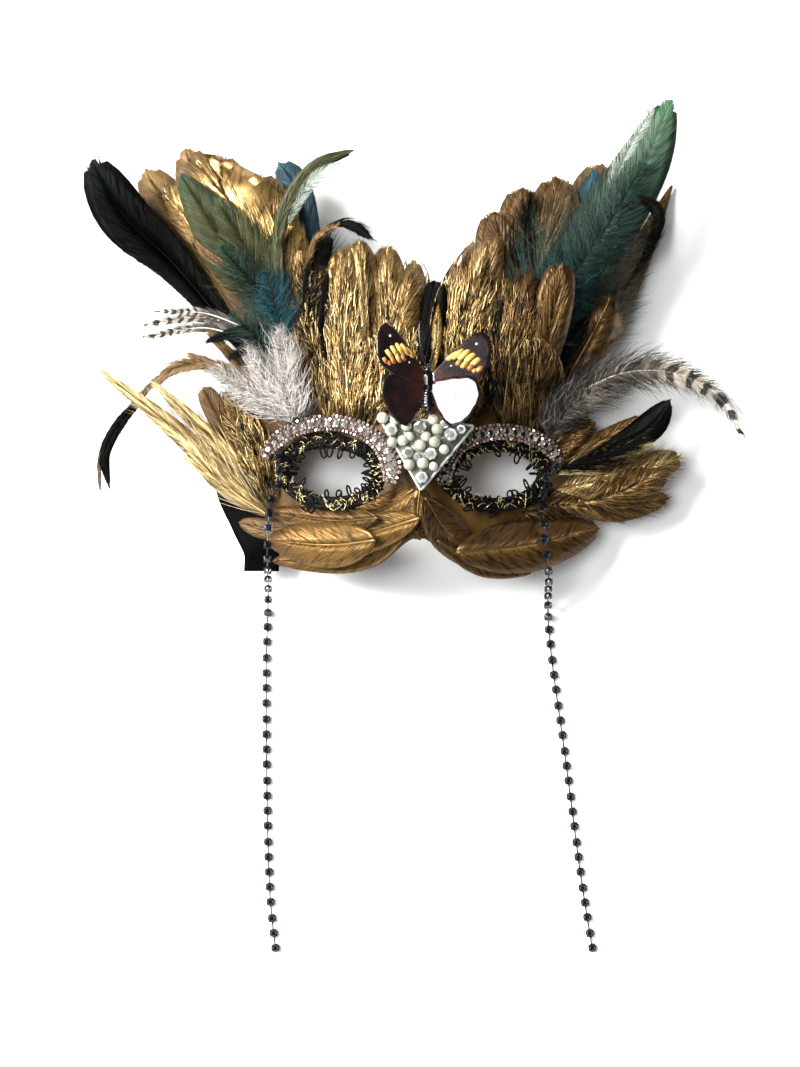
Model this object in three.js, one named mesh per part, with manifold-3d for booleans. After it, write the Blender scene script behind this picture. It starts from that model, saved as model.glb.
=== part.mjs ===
// A feather masquerade half mask that lies on its back, face up: a thin moulded shell with eye
// holes, glued feathers, braid and stone trim, a beaded nose plate, a butterfly, two hanging stone
// chains and two short ribbon ends.
// Millimetres. +X is to the right of someone who looks at the face, +Y runs to the ear plumes,
// and +Z is up, away from the surface that the mask lies on.
import * as THREE from "three";
import { mergeVertices } from "three/addons/utils/BufferGeometryUtils.js";
import Module from "manifold-3d";

const wasm = await Module();
wasm.setup();

// Driving dimensions of the moulded shell.
const SHELL_CENTRE_X = 1;
const SHELL_HALF_WIDTH = 76;
const RIM_INNER = 72; // the temple rims are flat from here outwards, and rest on the surface
const SHELL_WALL = 1.6;
const DOME_HEIGHT = 39;
const DOME_POWER = 2.3;
const DOME_CENTRE_Y = 6;
const DOME_REACH_Y = 120;
const NOSE = { x: 2.5, halfWidth: 9, height: 12, top: 22, base: -20 };
const SOCKET = { offset: 34, halfWidth: 16, halfHeight: 12, depth: 3 };
const SHELL_COLUMNS = 20;
const SHELL_ROWS = 9;

// Eye holes, and the trims round them. a and b are the half axes of an oval.
const EYE_HOLE = { a: 18, b: 10 };
const EYES = {
  left: { x: -34, y: 1, turn: -0.12, braid: { a: 20.4, b: 12.9 }, brow: { a: 27.5, b: 20.3, shift: 2 } },
  right: { x: 35, y: 0, turn: 0.06, braid: { a: 20.4, b: 12.3 }, brow: { a: 25.5, b: 17.7, shift: 3 } },
};
const BRAID = { half: 2.9, height: 3.2, segments: 26 };
const BROW = { half: 3.3, inner: 4.6, endShare: 0.55, endRun: 0.12, height: 2.6, start: 18, end: 194 };
const BROW_SEGMENTS = 16;

// Feathers and how they are laid.
const VANE = 0.55; // thickness of a vane
const QUILL_SHARE = 0.1; // the width at the quill's end, as a share of the widest
const GAP = 0.4; // clearance under whatever is laid on something else
const MAP_CELL = 0.8;
const SETTLE_ROUNDS = 60;
const FIRM_ROUNDS = 40;

// Stone chains: cups on short bars.
const CHAIN = { pitch: 6.65, cups: 35, cupRadius: 1.75, cupHeight: 2.2, bar: 0.8, barLow: 0.6 };
const DRAPE = { steps: 400, rounds: 260, sag: 0.01 };

// Nose plate, its beads and the butterfly.
const PLATE = { corners: [[-14.5, 24.5], [3.2, -8], [25.5, 20]], wall: 1.5, slope: -0.25 };
const BEAD = { radius: 2.5, centre: 1.9, bed: 0.4, margin: 0.15 };
const BEAD_ROWS = { pitch: 4.9, rowPitch: 4.5, rows: 6, first: 6 };
const BUTTERFLY = { x: 6, tail: 23, wing: 0.6 };
const RIBBON = { half: 7.5, wall: 0.5 };

const UPWARD = new THREE.Vector3(0, 0, 1);
const BOX_BOTTOM = 5; // where a three.js box keeps the squares of its underside
const PLATE_LEAN = new THREE.Matrix4().makeRotationX(Math.atan(PLATE.slope));
const smooth = (t) => {
  const c = Math.min(1, Math.max(0, t));
  return c * c * (3 - 2 * c);
};
const bell = (t) => Math.exp(-t * t);
const mix = (a, b, t) => a + (b - a) * t;

// Height of the shell's outer face. It is also the dome that feathers follow past its edge.
function domeHeight(x, y) {
  const across = Math.abs(x - SHELL_CENTRE_X) / RIM_INNER;
  const along = (y - DOME_CENTRE_Y) / DOME_REACH_Y;
  const dome = DOME_HEIGHT * Math.max(0, 1 - across ** DOME_POWER) * Math.max(0, 1 - along ** 2);
  const ridge =
    NOSE.height * bell((x - NOSE.x) / NOSE.halfWidth) * smooth((NOSE.top - y) / (NOSE.top - NOSE.base));
  const fromEye = Math.abs(x - SHELL_CENTRE_X) - SOCKET.offset;
  const socket = SOCKET.depth * bell(fromEye / SOCKET.halfWidth) * bell(y / SOCKET.halfHeight);
  return SHELL_WALL + Math.max(0, dome + ridge - socket);
}

// The shell's outline in plan: a dip over the nose, round cheeks and straight temple ends.
function shellBottom(x) {
  const out = Math.abs(x - NOSE.x);
  return -40 + 14 * bell(out / 13) + 26 * smooth((out - 38) / 38);
}
function shellTop(x) {
  const out = Math.abs(x - NOSE.x);
  return 50 - 5 * bell(out / 14) - 16 * smooth((out - 35) / 41);
}

// Highest point of what has been laid so far, on a fine grid. A cell also holds its neighbours'
// heights, so that what is laid next stays clear of an edge between two cells.
class ReliefMap {
  constructor(minX, maxX, minY, maxY) {
    this.minX = minX;
    this.minY = minY;
    this.columns = Math.ceil((maxX - minX) / MAP_CELL);
    this.rows = Math.ceil((maxY - minY) / MAP_CELL);
    this.heights = new Float32Array(this.columns * this.rows);
  }

  // Calls visit(cell index, weights) for each cell whose centre is in the triangle's plan.
  cellsIn([a, b, c], visit) {
    const area = (b.x - a.x) * (c.y - a.y) - (c.x - a.x) * (b.y - a.y);
    if (Math.abs(area) < 1e-9) return;
    const column = (x) => Math.floor((x - this.minX) / MAP_CELL);
    const row = (y) => Math.floor((y - this.minY) / MAP_CELL);
    const lastColumn = Math.min(this.columns - 1, column(Math.max(a.x, b.x, c.x)));
    const lastRow = Math.min(this.rows - 1, row(Math.max(a.y, b.y, c.y)));
    for (let j = Math.max(0, row(Math.min(a.y, b.y, c.y))); j <= lastRow; j++)
      for (let i = Math.max(0, column(Math.min(a.x, b.x, c.x))); i <= lastColumn; i++) {
        const x = this.minX + (i + 0.5) * MAP_CELL;
        const y = this.minY + (j + 0.5) * MAP_CELL;
        const wb = ((x - a.x) * (c.y - a.y) - (c.x - a.x) * (y - a.y)) / area;
        const wc = ((b.x - a.x) * (y - a.y) - (x - a.x) * (b.y - a.y)) / area;
        if (wb >= 0 && wc >= 0 && wb + wc <= 1) visit(j * this.columns + i, [1 - wb - wc, wb, wc]);
      }
  }

  at(x, y) {
    const i = Math.floor((x - this.minX) / MAP_CELL);
    const j = Math.floor((y - this.minY) / MAP_CELL);
    if (i < 0 || j < 0 || i >= this.columns || j >= this.rows) return 0;
    return this.heights[j * this.columns + i];
  }

  highestWithin(x, y, radius) {
    let highest = 0;
    for (let dx = -radius; dx <= radius; dx += MAP_CELL / 2)
      for (let dy = -radius; dy <= radius; dy += MAP_CELL / 2)
        if (dx * dx + dy * dy <= radius * radius) highest = Math.max(highest, this.at(x + dx, y + dy));
    return highest;
  }

  // Raises the map to a solid's faces, as far as they look up.
  raise(geometry) {
    for (const corners of facesOf(geometry))
      this.cellsIn(corners, (cell, w) => {
        const z = w[0] * corners[0].z + w[1] * corners[1].z + w[2] * corners[2].z;
        for (const step of [-this.columns, 0, this.columns])
          for (const side of [-1, 0, 1]) {
            const near = cell + step + side;
            if (near >= 0 && near < this.heights.length)
              this.heights[near] = Math.max(this.heights[near], z);
          }
      });
  }
}
const relief = new ReliefMap(-150, 150, -215, 170);

function facesOf(geometry) {
  const position = geometry.getAttribute("position");
  const index = geometry.index.array;
  const corner = (i) => new THREE.Vector3().fromBufferAttribute(position, index[i]);
  const faces = [];
  for (let i = 0; i < index.length; i += 3) faces.push([corner(i), corner(i + 1), corner(i + 2)]);
  return faces;
}

// A geometry whose shared corners are one vertex each, with no normals or map coordinates.
function welded(geometry) {
  const bare = geometry.clone();
  for (const name of ["normal", "uv"]) bare.deleteAttribute(name);
  return mergeVertices(bare, 1e-4);
}

// Moves each vertex of a geometry to place(x, y, z).
function reshaped(geometry, place) {
  const position = geometry.getAttribute("position");
  for (let i = 0; i < position.count; i++) {
    const p = place(position.getX(i), position.getY(i), position.getZ(i));
    position.setXYZ(i, p.x, p.y, p.z);
  }
  return welded(geometry);
}

// Lays a flat plate, whose underside is at z = 0, on the relief. natural(x, y) is how it would
// lie by itself, and it is lifted from there no further than what lies under it asks.
function lay(plate, natural) {
  const position = plate.getAttribute("position");
  const stations = [];
  const stationOf = new Map();
  const stationIndex = [];
  for (let i = 0; i < position.count; i++) {
    const key = `${position.getX(i).toFixed(3)},${position.getY(i).toFixed(3)}`;
    if (!stationOf.has(key)) {
      stationOf.set(key, stations.length);
      const [x, y] = [position.getX(i), position.getY(i)];
      stations.push({ x, y, rest: natural(x, y), lift: 0, near: new Set() });
    }
    stationIndex.push(stationOf.get(key));
  }
  const index = plate.index.array;
  const contacts = [];
  for (let i = 0; i < index.length; i += 3) {
    const ids = [index[i], index[i + 1], index[i + 2]];
    if (ids.some((id) => position.getZ(id) > 1e-6)) continue;
    const own = ids.map((id) => stationIndex[id]);
    for (const s of own) for (const other of own) if (s !== other) stations[s].near.add(other);
    relief.cellsIn(own.map((s) => stations[s]), (cell, weights) =>
      contacts.push({ own, weights, need: relief.heights[cell] + GAP }),
    );
  }
  stations.forEach((s, i) =>
    contacts.push({ own: [i], weights: [1], need: relief.at(s.x, s.y) + GAP }),
  );
  const settle = () => {
    let worst = 0;
    for (const { own, weights, need } of contacts) {
      const z = own.reduce((sum, s, i) => sum + weights[i] * (stations[s].rest + stations[s].lift), 0);
      const short = need - z;
      if (short <= 0) continue;
      const share = weights.reduce((sum, w) => sum + w * w, 0);
      own.forEach((s, i) => (stations[s].lift += (short * weights[i]) / share));
      worst = Math.max(worst, short);
    }
    return worst;
  };
  for (let round = 0; round < SETTLE_ROUNDS; round++) {
    settle();
    const eased = stations.map((s) => {
      const others = [...s.near].map((n) => stations[n].lift);
      return others.length ? mix(s.lift, others.reduce((a, b) => a + b, 0) / others.length, 0.5) : s.lift;
    });
    stations.forEach((s, i) => (s.lift = eased[i]));
  }
  for (let round = 0; round < FIRM_ROUNDS && settle() > 1e-3; round++);
  for (let i = 0; i < position.count; i++) {
    const s = stations[stationIndex[i]];
    position.setZ(i, position.getZ(i) + s.rest + s.lift);
  }
  relief.raise(plate);
  return plate;
}

// Lowers or raises stiff pieces together until they just clear what lies under them.
function seat(pieces) {
  let lift = -Infinity;
  for (const corners of pieces.flatMap(facesOf))
    relief.cellsIn(corners, (cell, w) => {
      const z = w[0] * corners[0].z + w[1] * corners[1].z + w[2] * corners[2].z;
      lift = Math.max(lift, relief.heights[cell] + GAP - z);
    });
  for (const piece of pieces) {
    piece.translate(0, 0, lift);
    relief.raise(piece);
  }
}

// A flat box in columns and rows. Its bottom squares are cut along the same diagonals as its top
// ones, so that a plate made from it keeps its wall where it bends.
function plateBox(width, columns, rows) {
  const box = new THREE.BoxGeometry(width, 1, 1, columns, rows, 1);
  const index = box.index.array;
  const { start, count } = box.groups[BOX_BOTTOM];
  for (let i = start; i < start + count; i += 6) {
    index[i + 2] = index[i + 4];
    index[i + 3] = index[i];
  }
  return box;
}

// A flat strip along a line in plan, with its underside at z = 0. halfAt(u, side) is its half
// width at u from 0 to 1 along the line, on side 1, its right, or side -1.
function strip(line, halfAt, wall, rows, columns) {
  return reshaped(plateBox(2, columns, rows), (x, y, z) => {
    const u = y + 0.5;
    const centre = line.getPoint(u);
    const along = line.getTangent(u);
    const reach = x * halfAt(u, Math.sign(x));
    return new THREE.Vector3(centre.x + along.y * reach, centre.y - along.x * reach, (z + 0.5) * wall);
  });
}

const lineThrough = (points) =>
  new THREE.CatmullRomCurve3(points.map(([x, y]) => new THREE.Vector3(x, y, 0)), false, "centripetal");

// A vane is widest where u ** skew is a half. blunt under 1 rounds its tip, and over 1 points it.
function vaneHalf({ half, lean = 0, skew = 1, blunt = 0.6 }) {
  return (u, side) => {
    const swell = Math.sin(Math.PI * Math.min(1, Math.max(0, u)) ** skew) ** blunt;
    return half * (1 + lean * side) * mix(QUILL_SHARE, 1, Math.abs(swell));
  };
}

function feather(spec) {
  const { points, tipZ, wall = VANE, rows = 7, columns = 2 } = spec;
  const line = lineThrough(points);
  const blade = strip(line, vaneHalf(spec), wall, rows, columns);
  const [rootX, rootY] = points[0];
  const rootZ = relief.at(rootX, rootY) + GAP;
  const samples = Array.from({ length: 33 }, (_, i) => ({ u: i / 32, at: line.getPoint(i / 32) }));
  const natural = (x, y) => {
    const gap = (s) => (s.at.x - x) ** 2 + (s.at.y - y) ** 2;
    const nearest = samples.reduce((best, s) => (gap(s) < gap(best) ? s : best));
    const sideways = domeHeight(x, y) - domeHeight(nearest.at.x, nearest.at.y);
    return Math.max(0.02, mix(rootZ, tipZ, nearest.u) + sideways * (1 - nearest.u));
  };
  return lay(blade, natural);
}

// The colours of paints, dyes and metals.
const FINISH = {
  gold: { color: 0xb08a3e, roughness: 0.4, metalness: 0.7 },
  paleGold: { color: 0xd8c27a, roughness: 0.45, metalness: 0.5 },
  bronze: { color: 0x8a6433, roughness: 0.5, metalness: 0.4 },
  tan: { color: 0xa5835a, roughness: 0.7, metalness: 0 },
  black: { color: 0x14140f, roughness: 0.5, metalness: 0 },
  green: { color: 0x35573d, roughness: 0.5, metalness: 0.1 },
  blue: { color: 0x2a5a73, roughness: 0.5, metalness: 0.1 },
  down: { color: 0xcfc8c0, roughness: 0.9, metalness: 0 },
  barred: { color: 0x6b6058, roughness: 0.8, metalness: 0 },
  shell: { color: 0x2a2119, roughness: 0.7, metalness: 0 },
  stones: { color: 0xc3b1aa, roughness: 0.2, metalness: 0.3 },
  braid: { color: 0x1c1b16, roughness: 0.7, metalness: 0.1 },
  plate: { color: 0xe6e4dc, roughness: 0.4, metalness: 0 },
  pearls: { color: 0xeeece0, roughness: 0.25, metalness: 0 },
  wing: { color: 0x2b1a16, roughness: 0.3, metalness: 0 },
  jet: { color: 0x10141f, roughness: 0.15, metalness: 0.4 },
  ribbon: { color: 0x0c0c0e, roughness: 0.35, metalness: 0 },
};

const mask = new THREE.Group();
mask.name = "feather_masquerade_mask";

function addPiece(name, geometry, finish) {
  const mesh = new THREE.Mesh(geometry, new THREE.MeshStandardMaterial(FINISH[finish]));
  mesh.name = name;
  mask.add(mesh);
  return mesh;
}

function solidOf(geometry) {
  const g = welded(geometry);
  const vertProperties = new Float32Array(g.getAttribute("position").array);
  return new wasm.Manifold(
    new wasm.Mesh({ numProp: 3, vertProperties, triVerts: new Uint32Array(g.index.array) }),
  );
}

function geometryOf(solid) {
  const made = solid.getMesh();
  const points = new Float32Array(made.numVert * 3);
  for (let i = 0; i < made.numVert; i++)
    points.set(made.vertProperties.subarray(i * made.numProp, i * made.numProp + 3), i * 3);
  return new THREE.BufferGeometry()
    .setAttribute("position", new THREE.BufferAttribute(points, 3))
    .setIndex(new THREE.BufferAttribute(new Uint32Array(made.triVerts), 1));
}

const joined = (parts) => parts.map(solidOf).reduce((whole, part) => whole.add(part));

// An oval in plan, turned about its centre.
function oval({ x, y, turn }, a, b) {
  return new THREE.EllipseCurve(x, y, a, b, 0, 2 * Math.PI, false, turn);
}

function makeShell() {
  const columnX = (i) => {
    if (i <= 0) return -SHELL_HALF_WIDTH;
    if (i >= SHELL_COLUMNS) return SHELL_HALF_WIDTH;
    return -RIM_INNER + ((i - 1) * 2 * RIM_INNER) / (SHELL_COLUMNS - 2);
  };
  const box = plateBox(SHELL_COLUMNS, SHELL_COLUMNS, SHELL_ROWS);
  const sheet = reshaped(box, (column, y, z) => {
    const px = SHELL_CENTRE_X + columnX(Math.round(column + SHELL_COLUMNS / 2));
    const py = mix(shellBottom(px), shellTop(px), y + 0.5);
    return new THREE.Vector3(px, py, domeHeight(px, py) + (z - 0.5) * SHELL_WALL);
  });
  relief.raise(sheet);
  let shell = solidOf(sheet);
  for (const eye of Object.values(EYES)) {
    const outline = new THREE.Shape(oval(eye, EYE_HOLE.a, EYE_HOLE.b).getPoints(28).slice(0, -1));
    const cutter = new THREE.ExtrudeGeometry(outline, { depth: 90, bevelEnabled: false });
    shell = shell.subtract(solidOf(cutter));
  }
  addPiece("mask_shell", geometryOf(shell), "shell");
}

// A ribbon end is glued over the temple and hangs to the surface below the cheek.
function makeRibbon(name, points) {
  const tape = strip(lineThrough(points), () => RIBBON.half, RIBBON.wall, 9, 2);
  addPiece(name, lay(tape, () => 0.02), "ribbon");
}

function makeBraid(name, eye) {
  const edge = (reach) => oval(eye, eye.braid.a + reach, eye.braid.b + reach).getPoints(BRAID.segments);
  const ring = new THREE.Shape(edge(BRAID.half).slice(0, -1));
  ring.holes.push(new THREE.Path(edge(-BRAID.half).slice(0, -1)));
  const band = welded(new THREE.ExtrudeGeometry(ring, { depth: BRAID.height, bevelEnabled: false }));
  addPiece(name, lay(band, (x, y) => domeHeight(x, y)), "braid");
}

// side is -1 for the left eye and 1 for the right. The band arches over the eye from the temple
// and down beside the nose, where it is widest.
function makeBrow(name, eye, side) {
  const { a, b, shift } = eye.brow;
  const points = [];
  for (let i = 0; i <= BROW_SEGMENTS; i++) {
    const angle = THREE.MathUtils.degToRad(mix(BROW.start, BROW.end, i / BROW_SEGMENTS));
    points.push([eye.x + side * (shift + a * Math.cos(angle)), eye.y + b * Math.sin(angle)]);
  }
  const ends = (u) => mix(BROW.endShare, 1, smooth(Math.min(u, 1 - u) / BROW.endRun));
  const halfAt = (u) => mix(BROW.half, BROW.inner, smooth(u * 2 - 1)) * ends(u);
  const band = strip(lineThrough(points), halfAt, BROW.height, BROW_SEGMENTS, 1);
  addPiece(name, lay(band, (x, y) => domeHeight(x, y)), "stones");
}

// The plate is flat, and leans back from its tip on the nose.
function makePlate() {
  const outline = new THREE.Shape(PLATE.corners.map(([x, y]) => new THREE.Vector2(x, y)));
  const slab = welded(new THREE.ExtrudeGeometry(outline, { depth: PLATE.wall, bevelEnabled: false }));
  const plate = slab.applyMatrix4(PLATE_LEAN);
  seat([plate]);
  addPiece("nose_plate", plate, "plate");
}

// Beads stand in a bed of glue, in rows that narrow to the plate's tip.
function makeBeads() {
  const [left, tip, right] = PLATE.corners;
  const top = (left[1] + right[1]) / 2;
  const parts = [];
  for (let row = 0; row < BEAD_ROWS.rows; row++) {
    const y = tip[1] + BEAD_ROWS.first + row * BEAD_ROWS.rowPitch;
    const middle = mix(tip[0], (left[0] + right[0]) / 2, (y - tip[1]) / (top - tip[1]));
    for (let i = 0; i <= row; i++) {
      const bead = new THREE.IcosahedronGeometry(BEAD.radius, 0);
      parts.push(bead.translate(middle + (i - row / 2) * BEAD_ROWS.pitch, y, BEAD.centre));
    }
  }
  const corners = PLATE.corners.map(([x, y]) => new THREE.Vector2(x, y));
  const centre = corners.reduce((sum, c) => sum.add(c), new THREE.Vector2()).divideScalar(corners.length);
  const inset = new THREE.Shape(corners.map((c) => c.lerp(centre, BEAD.margin)));
  parts.push(new THREE.ExtrudeGeometry(inset, { depth: BEAD.bed, bevelEnabled: false }));
  const beads = geometryOf(joined(parts)).applyMatrix4(PLATE_LEAN);
  seat([beads]);
  addPiece("pearl_beads", beads, "pearls");
}

// A cup is six-sided in plan, and thins to a bar at each end.
function cupSection(share, full) {
  const ahead = share * CHAIN.cupRadius;
  if (full) return { ahead, half: CHAIN.cupRadius, low: 0, high: CHAIN.cupHeight };
  return { ahead, half: CHAIN.bar / 2, low: CHAIN.barLow, high: CHAIN.barLow + CHAIN.bar };
}
const CUP_SECTIONS = [
  cupSection(-1, false),
  cupSection(-0.5, true),
  cupSection(0.5, true),
  cupSection(1, false),
];

// Cups and bars in one strip, along a line in plan and laid on whatever is under it.
function makeChain(name, points) {
  const line = lineThrough(points);
  const { steps } = DRAPE;
  const stepLength = line.getLength() / steps;
  const trail = Array.from({ length: steps + 1 }, (_, i) => {
    const { x, y } = line.getPointAt(i / steps);
    const under = relief.highestWithin(x, y, CHAIN.cupRadius + GAP);
    const need = under > 0 ? under + GAP : 0;
    return new THREE.Vector3(x, y, need);
  });
  const needs = trail.map((p) => p.z);
  for (let round = 0; round < DRAPE.rounds; round++)
    for (let i = 1; i < steps; i++)
      trail[i].z = Math.max(needs[i], (trail[i - 1].z + trail[i + 1].z) / 2 - DRAPE.sag * stepLength);
  const spots = [];
  let travelled = CHAIN.pitch;
  for (let i = 1; i <= steps && spots.length < CHAIN.cups; i++) {
    travelled += trail[i].distanceTo(trail[i - 1]);
    if (travelled < CHAIN.pitch) continue;
    travelled -= CHAIN.pitch;
    const along = trail[Math.min(steps, i + 3)].clone().sub(trail[Math.max(0, i - 3)]).normalize();
    spots.push({ at: trail[i], along });
  }
  const sections = CUP_SECTIONS.length * spots.length - 1;
  const chain = reshaped(new THREE.BoxGeometry(2, 1, 1, 1, sections, 1), (side, v, level) => {
    const station = Math.round((v + 0.5) * sections);
    const { at, along } = spots[Math.floor(station / CUP_SECTIONS.length)];
    const { ahead, half, low, high } = CUP_SECTIONS[station % CUP_SECTIONS.length];
    const across = along.clone().cross(UPWARD).normalize();
    const up = across.clone().cross(along);
    const p = at.clone().addScaledVector(along, ahead).addScaledVector(across, side * half);
    return p.addScaledVector(up, level > 0 ? high : low);
  });
  relief.raise(chain);
  addPiece(name, chain, "jet");
}

// Outlines of one fore and one hind wing, out from the body and up from its tail.
const WING_ROOT = [1.2, 15];
const FORE_WING = [
  [1.2, 16.5], [9.5, 25], [17, 31.5], [22, 33.5], [25, 30], [25, 22], [21.5, 16], [12, 13], [1.2, 13],
];
const HIND_WING = [
  [1.2, 14], [11, 15.5], [19, 15], [21.5, 8.5], [19.5, 3], [14.5, -3], [9, -4.4], [5, 0], [1.2, 9],
];
const BODY_PROFILE = [
  [0, 0], [1.1, 0.9], [1.5, 4], [1.3, 9], [1.9, 12], [1.9, 16], [1, 18.4], [1.2, 19.4], [0, 20.4],
];

// swing turns the wing forward about its root.
function wingBlade(outline, lift, swing) {
  const [rootX, rootY] = WING_ROOT;
  const shape = new THREE.Shape(outline.map(([x, y]) => new THREE.Vector2(x, y)));
  const blade = new THREE.ExtrudeGeometry(shape, { depth: BUTTERFLY.wing, bevelEnabled: false });
  blade.translate(-rootX, -rootY, lift).rotateZ(swing).translate(rootX, rootY, 0);
  return solidOf(blade);
}

// Both wings of one side are one cut piece, lifted by tilt about their roots. side is 1 for the
// right.
function wingPair(side, tilt, swing) {
  const pair = wingBlade(FORE_WING, BUTTERFLY.wing / 2, swing).add(wingBlade(HIND_WING, 0, 0));
  const [rootX] = WING_ROOT;
  const turned = geometryOf(pair).translate(-rootX, 0, 0).rotateY(-tilt).translate(rootX, 0, 0);
  return side > 0 ? solidOf(turned) : solidOf(turned).mirror([1, 0, 0]);
}

function makeButterfly() {
  const body = new THREE.LatheGeometry(BODY_PROFILE.map(([r, y]) => new THREE.Vector2(r, y)), 6);
  const butterfly = geometryOf(solidOf(body).add(wingPair(-1, 0.55, 0.13)).add(wingPair(1, 0.15, 0)));
  butterfly.translate(BUTTERFLY.x, BUTTERFLY.tail, 0);
  seat([butterfly]);
  addPiece("butterfly", butterfly, "wing");
}

// Feathers from the back to the front. points run from the quill's end to the tip, in plan, and
// tipZ is the height at which the tip would lie by itself.
const CHEEK_FEATHERS = [
  { name: "nose_feather", finish: "bronze", half: 7, tipZ: 49, columns: 3,
    points: [[3, -6], [2, -17], [3, -27]] },
  { name: "cheek_left_lower", finish: "gold", half: 6, tipZ: 17,
    points: [[-2, -22], [-22, -34], [-59, -36]] },
  { name: "cheek_left_inner", finish: "gold", half: 8, tipZ: 20,
    points: [[3, -18], [-20, -25], [-48, -34]] },
  { name: "cheek_left_upper", finish: "bronze", half: 6, tipZ: 17,
    points: [[-14, -18], [-32, -19], [-60, -15]] },
  { name: "cheek_left_outer", finish: "gold", half: 10, tipZ: 17, columns: 3,
    points: [[-15, -27], [-34, -29], [-61, -27]] },
  { name: "cheek_right_inner", finish: "bronze", half: 8, tipZ: 34, columns: 3,
    points: [[5, -10], [14, -24], [28, -38]] },
  { name: "cheek_right_lower", finish: "bronze", half: 4, tipZ: 24,
    points: [[10, -27], [28, -38], [50, -41]] },
  { name: "cheek_right_large", finish: "bronze", half: 12, tipZ: 13, columns: 3,
    points: [[18, -32], [48, -29], [80, -22]] },
];
const LEFT_EAR_FEATHERS = [
  { name: "fan_left_outer", finish: "tan", half: 12, tipZ: 0, skew: 1.6, blunt: 0.45,
    points: [[-56, 38], [-91, 93], [-116, 134]] },
  { name: "blue_feather_left", finish: "blue", half: 7, tipZ: 16, skew: 1.6,
    points: [[-40, 46], [-43, 98], [-50, 124], [-57, 134]] },
  { name: "fan_left_tall", finish: "tan", half: 13, tipZ: 13, skew: 1.5, blunt: 0.5,
    points: [[-52, 40], [-78, 97], [-97, 140]] },
  { name: "fan_left_mid", finish: "gold", half: 13, tipZ: 16, skew: 1.5, blunt: 0.5,
    points: [[-49, 42], [-68, 96], [-82, 136]] },
  { name: "fan_left_gold", finish: "gold", half: 15, tipZ: 20, skew: 1.5, blunt: 0.45,
    points: [[-45, 44], [-57, 93], [-66, 127]] },
  { name: "black_feather_left", finish: "black", half: 12, tipZ: 24, skew: 1.7, blunt: 0.5,
    points: [[-66, 48], [-102, 91], [-122, 110], [-135, 133]] },
  { name: "black_tuft_left", finish: "black", half: 9, tipZ: 32,
    points: [[-43, 60], [-40, 84], [-34, 100]] },
  { name: "green_feather_left", finish: "green", half: 14, tipZ: 28, blunt: 0.75,
    points: [[-52, 58], [-64, 82], [-78, 98], [-97, 126]] },
  { name: "green_curl_left", finish: "green", half: 5, tipZ: 37, skew: 1.2, rows: 12,
    points: [[-53, 70], [-56, 96], [-52, 111], [-46, 121], [-38, 129], [-24, 134]] },
];
const LEFT_SIDE_FEATHERS = [
  { name: "curl_feather_left", finish: "tan", half: 3.6, tipZ: 9, rows: 12,
    points: [[-56, 28], [-76, 46], [-103, 45], [-120, 29], [-133, 10], [-134, -7]] },
  { name: "side_left_blunt", finish: "gold", half: 5.5, tipZ: 17, skew: 1.5, blunt: 0.4,
    points: [[-61, -6], [-74, 12], [-89, 38]] },
  { name: "side_left_gold", finish: "gold", half: 6.5, tipZ: 20,
    points: [[-60, -2], [-70, 17], [-79, 36]] },
  { name: "side_left_second", finish: "paleGold", half: 5, tipZ: 18, skew: 0.8, blunt: 0.8,
    points: [[-61, -12], [-82, 13], [-110, 40]] },
  { name: "side_left_long", finish: "paleGold", half: 6.5, tipZ: 16, skew: 0.75, blunt: 0.9,
    points: [[-61, -16], [-86, 7], [-109, 27], [-133, 45]] },
  { name: "grizzly_left", finish: "barred", half: 7, tipZ: 20, skew: 0.75,
    points: [[-52, 50], [-84, 66], [-114, 64]] },
  { name: "down_left_low", finish: "down", half: 8, tipZ: 22, wall: 2,
    points: [[-54, 23], [-66, 33], [-84, 45]] },
];
const CREST_FEATHERS = [
  { name: "down_left_tall", finish: "down", half: 10, tipZ: 32, wall: 2.4,
    points: [[-47, 24], [-52, 42], [-55, 60]] },
  { name: "crest_centre_black", finish: "black", half: 6, tipZ: 28,
    points: [[6, 36], [10, 58], [10, 81]] },
  { name: "crest_left_inner", finish: "gold", half: 9, tipZ: 28, blunt: 0.45,
    points: [[-4, 33], [-1, 64], [1, 90]] },
  { name: "crest_left_middle", finish: "gold", half: 12, tipZ: 30, columns: 3, blunt: 0.45,
    points: [[-14, 26], [-11, 62], [-10, 95]] },
  { name: "crest_left_outer", finish: "gold", half: 11, tipZ: 32, columns: 3, blunt: 0.45,
    points: [[-26, 24], [-28, 60], [-26, 95]] },
  { name: "black_curl_left", finish: "black", half: 3.4, tipZ: 38, skew: 2.2, rows: 10,
    points: [[-42, 72], [-40, 98], [-28, 104], [-16, 97]] },
];
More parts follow.
